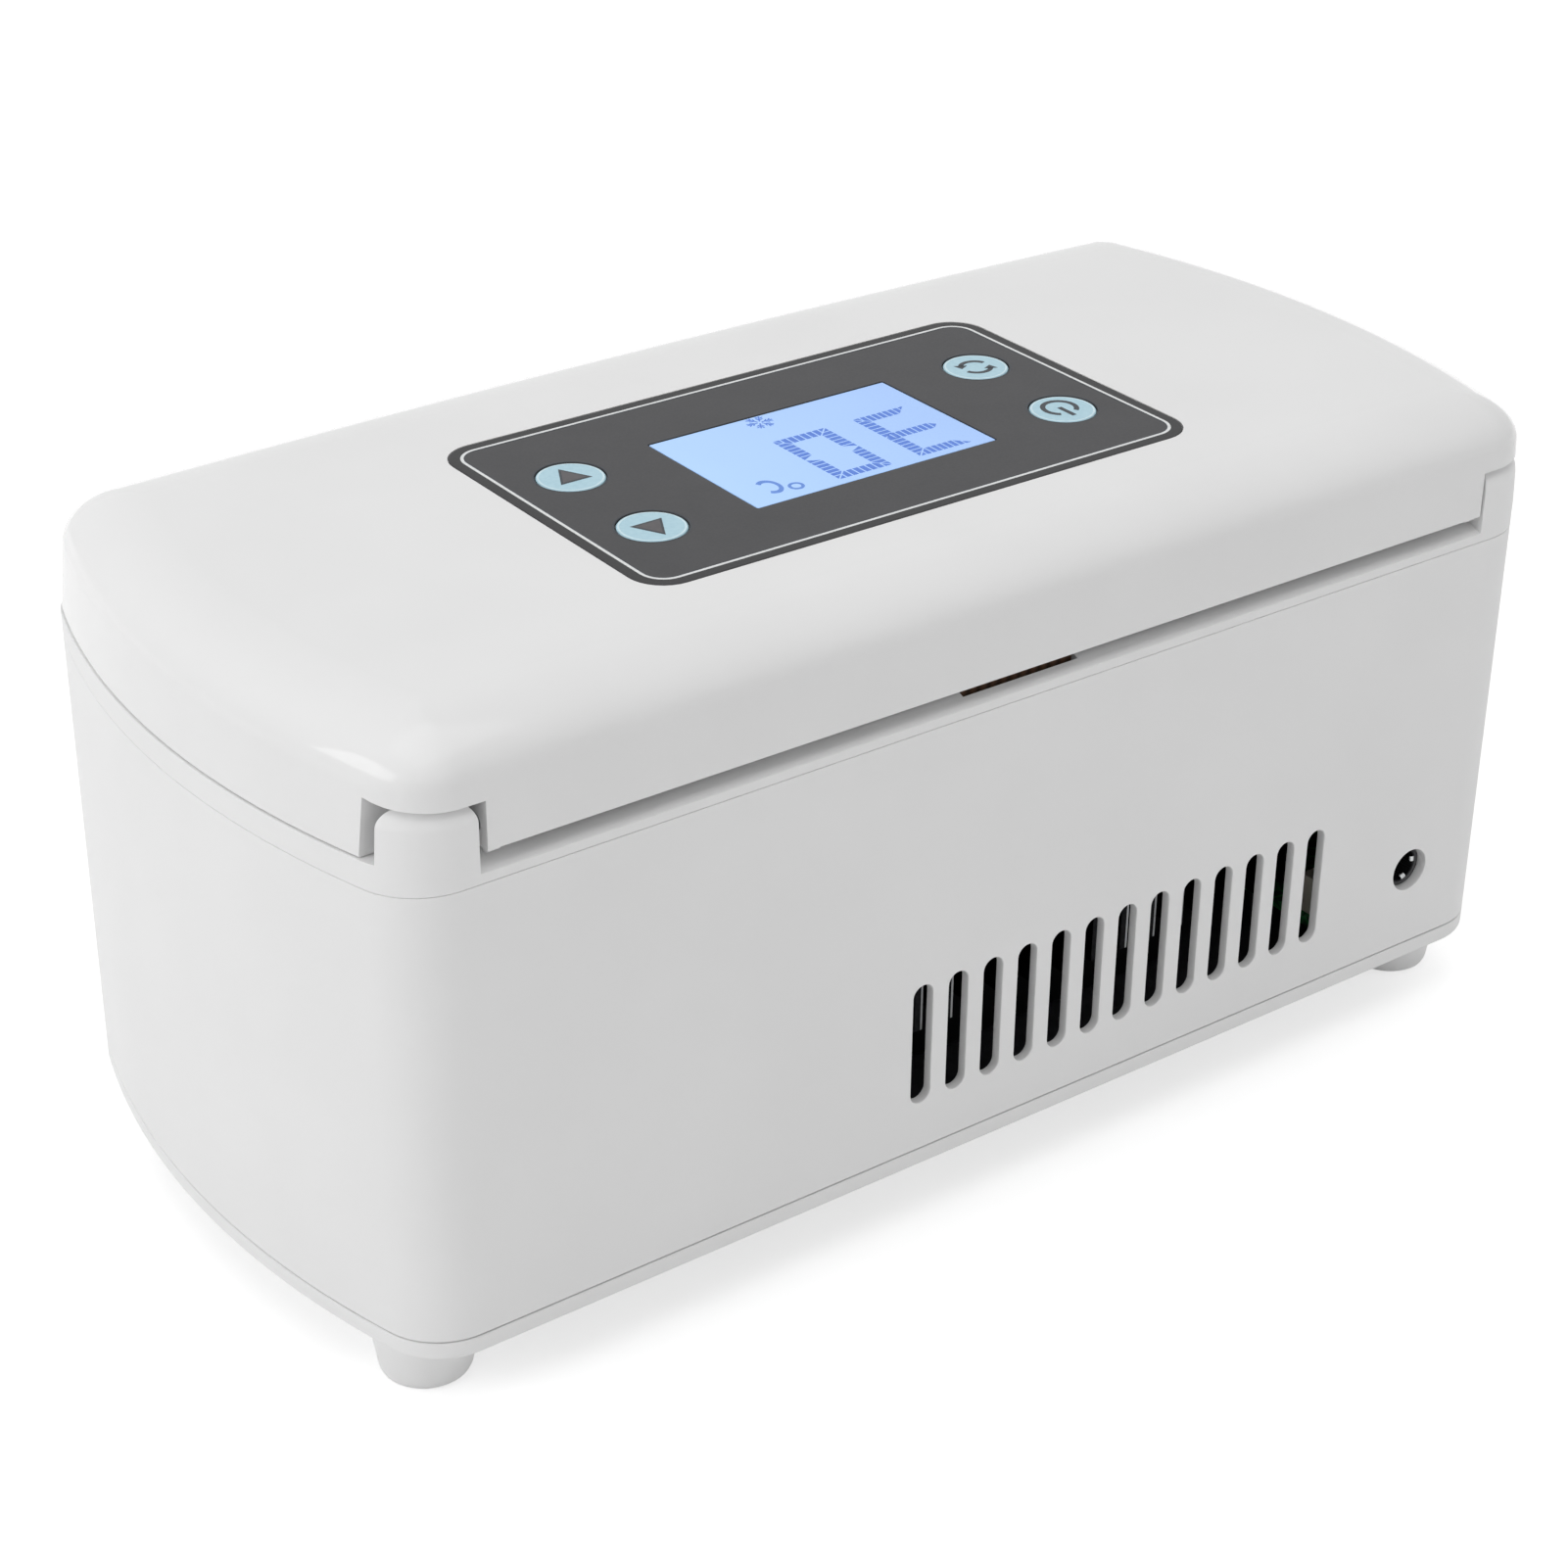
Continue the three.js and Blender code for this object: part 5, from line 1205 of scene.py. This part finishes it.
# %% Cold chamber
TUB_TOP, TUB_FOOT, TUB_WALL = 95.85, 60.65, 1.2
FLOOR_ROUND, INSIDE_ROUND, RIM_ROUND = 5.0, 4.4, 0.8
FLANGE, FLANGE_THICK, FLANGE_EDGE = 3.0, 0.8, 0.1
tub_outline = chamber_inset(-TUB_WALL)
rings = lower_edge(tub_outline, FLOOR_ROUND, TUB_FOOT, 6)
rings += [(tub_outline(0), TUB_TOP - FLANGE_THICK), (tub_outline(-FLANGE), TUB_TOP - FLANGE_THICK)]
rings += [(tub_outline(-FLANGE), TUB_TOP - FLANGE_EDGE), (tub_outline(FLANGE_EDGE - FLANGE), TUB_TOP)]
for angle in quarter(4):
    growth = RIM_ROUND * (1 - sin(angle))
    rings.append((chamber_outline(growth), TUB_TOP - RIM_ROUND * (1 - cos(angle))))
rings += reversed(lower_edge(chamber_inset(0), INSIDE_ROUND, TUB_FOOT + TUB_WALL, 6))
tub = loft("chamber_tub", rings)
place(soften(tub, angle=50), drawn_aluminium, "case", "aluminium", "chamber_liner")
print("chamber:", CHAMBER_LENGTH, "x", CHAMBER_WIDTH, "mm")

# %% [markdown]
# ## Solids that keep their shape
# Fins, fan, boards, cables, foam and hidden fasteners are right as they are, so each only gets the
# finish of its slot.

# %% Finishes of the remaining solids
SLOT_FINISH = {
    "casing": gloss_abs, "panel_film": film, "keycap": keycap_silicone, "lcd": display,
    "diffuser": ivory_nylon, "circuit_board": board_mask, "black_plastic": black_nylon, "foam": foam,
    "gasket": gasket_silicone, "aluminium": bare_aluminium, "anodised": anodised_aluminium,
    "steel": nickel_steel, "ceramic": ceramic, "connector": ivory_nylon, "flat_cable": cable_pvc,
}
for subpart in frame["record"]["subparts"]:
    solid = nodes[subpart["node"]]
    solid.data.materials.clear()
    solid.data.materials.append(SLOT_FINISH[subpart["material_slot"]])

# %% [markdown]
# ## Floor and surroundings
# The case stands on matt white paper in a white tent. The paper takes the shadow, and for the camera it
# glows a little, more so farther out, so that it meets the white surroundings. The tent's light is about
# twice as strong on the side away from the camera.

# %% Floor and world
FLOOR_HALF = 3.0  # metres, as are the distances of the glow
GLOW_FROM, GLOW_TO, GLOW_LOW, GLOW_HIGH = 0.4, 1.0, 0.58, 0.9
TENT_TOWARD, TENT_LOW, TENT_HIGH = (-0.8, -0.6, 0), 0.31, 0.66
WHITE = (1, 1, 1, 1)


def seen_directly(tree):
    """1 for what the camera sees straight on, in a mirror reflection or through glass, else 0."""
    rays = node(tree, "LightPath", {}).outputs
    direct = maths(tree, "MAXIMUM", rays["Is Camera Ray"], rays["Is Glossy Ray"])
    return maths(tree, "MAXIMUM", direct, rays["Is Transmission Ray"])


bm = bmesh.new()
bmesh.ops.create_grid(bm, x_segments=1, y_segments=1, size=FLOOR_HALF)
floor = new_piece("floor", bm)
paper, tree, shader, place_on_floor = finish("matt white paper floor", 0.9, Emission_Color=WHITE)
speckled(tree, shader, place_on_floor, "#F0F0F0", "#F2F2F2", feature_mm=60.0)
overlaid(tree, shader, seen_directly(tree), "#D6D6D6")
distance = node(tree, "VectorMath", {"operation": "LENGTH"}, {0: place_on_floor}).outputs["Value"]
glow_range = {"From Min": GLOW_FROM, "From Max": GLOW_TO, "To Min": GLOW_LOW, "To Max": GLOW_HIGH}
whiten = node(tree, "MapRange", glow_range, {"Value": distance}).outputs["Result"]
glow = maths(tree, "MULTIPLY", seen_directly(tree), whiten)
tree.links.new(glow, shader.inputs["Emission Strength"])
floor.data.materials.append(paper)

world = bpy.data.worlds.new("studio")
scene.world = world
world.use_nodes = True
tree = world.node_tree
direction = node(tree, "TexCoord", {}).outputs["Generated"]
toward = node(tree, "VectorMath", {"operation": "DOT_PRODUCT", 1: TENT_TOWARD}, {0: direction})
tent = node(tree, "MapRange", {"To Min": TENT_LOW, "To Max": TENT_HIGH}, {"Value": toward.outputs["Value"]})
level_links = {"Value": seen_directly(tree), "To Min": tent.outputs["Result"]}
level = node(tree, "MapRange", {"To Max": 1.0}, level_links)
background = tree.nodes["Background"]
tree.links.new(level.outputs["Result"], background.inputs["Strength"])
background.inputs["Color"].default_value = WHITE
print("floor and world ready")

# %% [markdown]
# ## Lamps
# A broad lamp hangs above, two stand beyond the +X end and one behind the hinge side. Only the lamp above
# and the narrow one at the end show in reflections, where they leave the bright streaks on the lid.

# %% Lamps
LAMPS = {  # place, target, width and height in metres, and power in watts
    "top_box": ((0.1, 0.0, 1.6), (0, 0, 0.08), 1.6, 1.6, 11.0),
    "end_box": ((1.9, 0.1, 0.75), (0.05, 0, 0.06), 1.1, 1.2, 1.8),
    "end_strip": ((1.34, -0.2, 0.7), (0.11, 0.045, 0.11), 1.02, 0.5, 6.2),
    "rear_box": ((-0.3, 1.7, 0.6), (0, 0, 0.06), 1.4, 1.1, 4.5),
}
REFLECTED = ("top_box", "end_strip")
for name, (position, target, wide, high, power) in LAMPS.items():
    lamp = bpy.data.lights.new(name, "AREA")
    lamp.shape = "RECTANGLE"
    lamp.size = wide
    lamp.size_y = high
    lamp.energy = power
    holder = bpy.data.objects.new(name, lamp)
    aim = Vector(target) - Vector(position)
    holder.matrix_world = Matrix.Translation(position) @ aim.to_track_quat("-Z", "Y").to_matrix().to_4x4()
    holder.visible_glossy = name in REFLECTED
    scene.collection.objects.link(holder)
scene.view_settings.view_transform = "Standard"
print("lamps:", ", ".join(LAMPS))
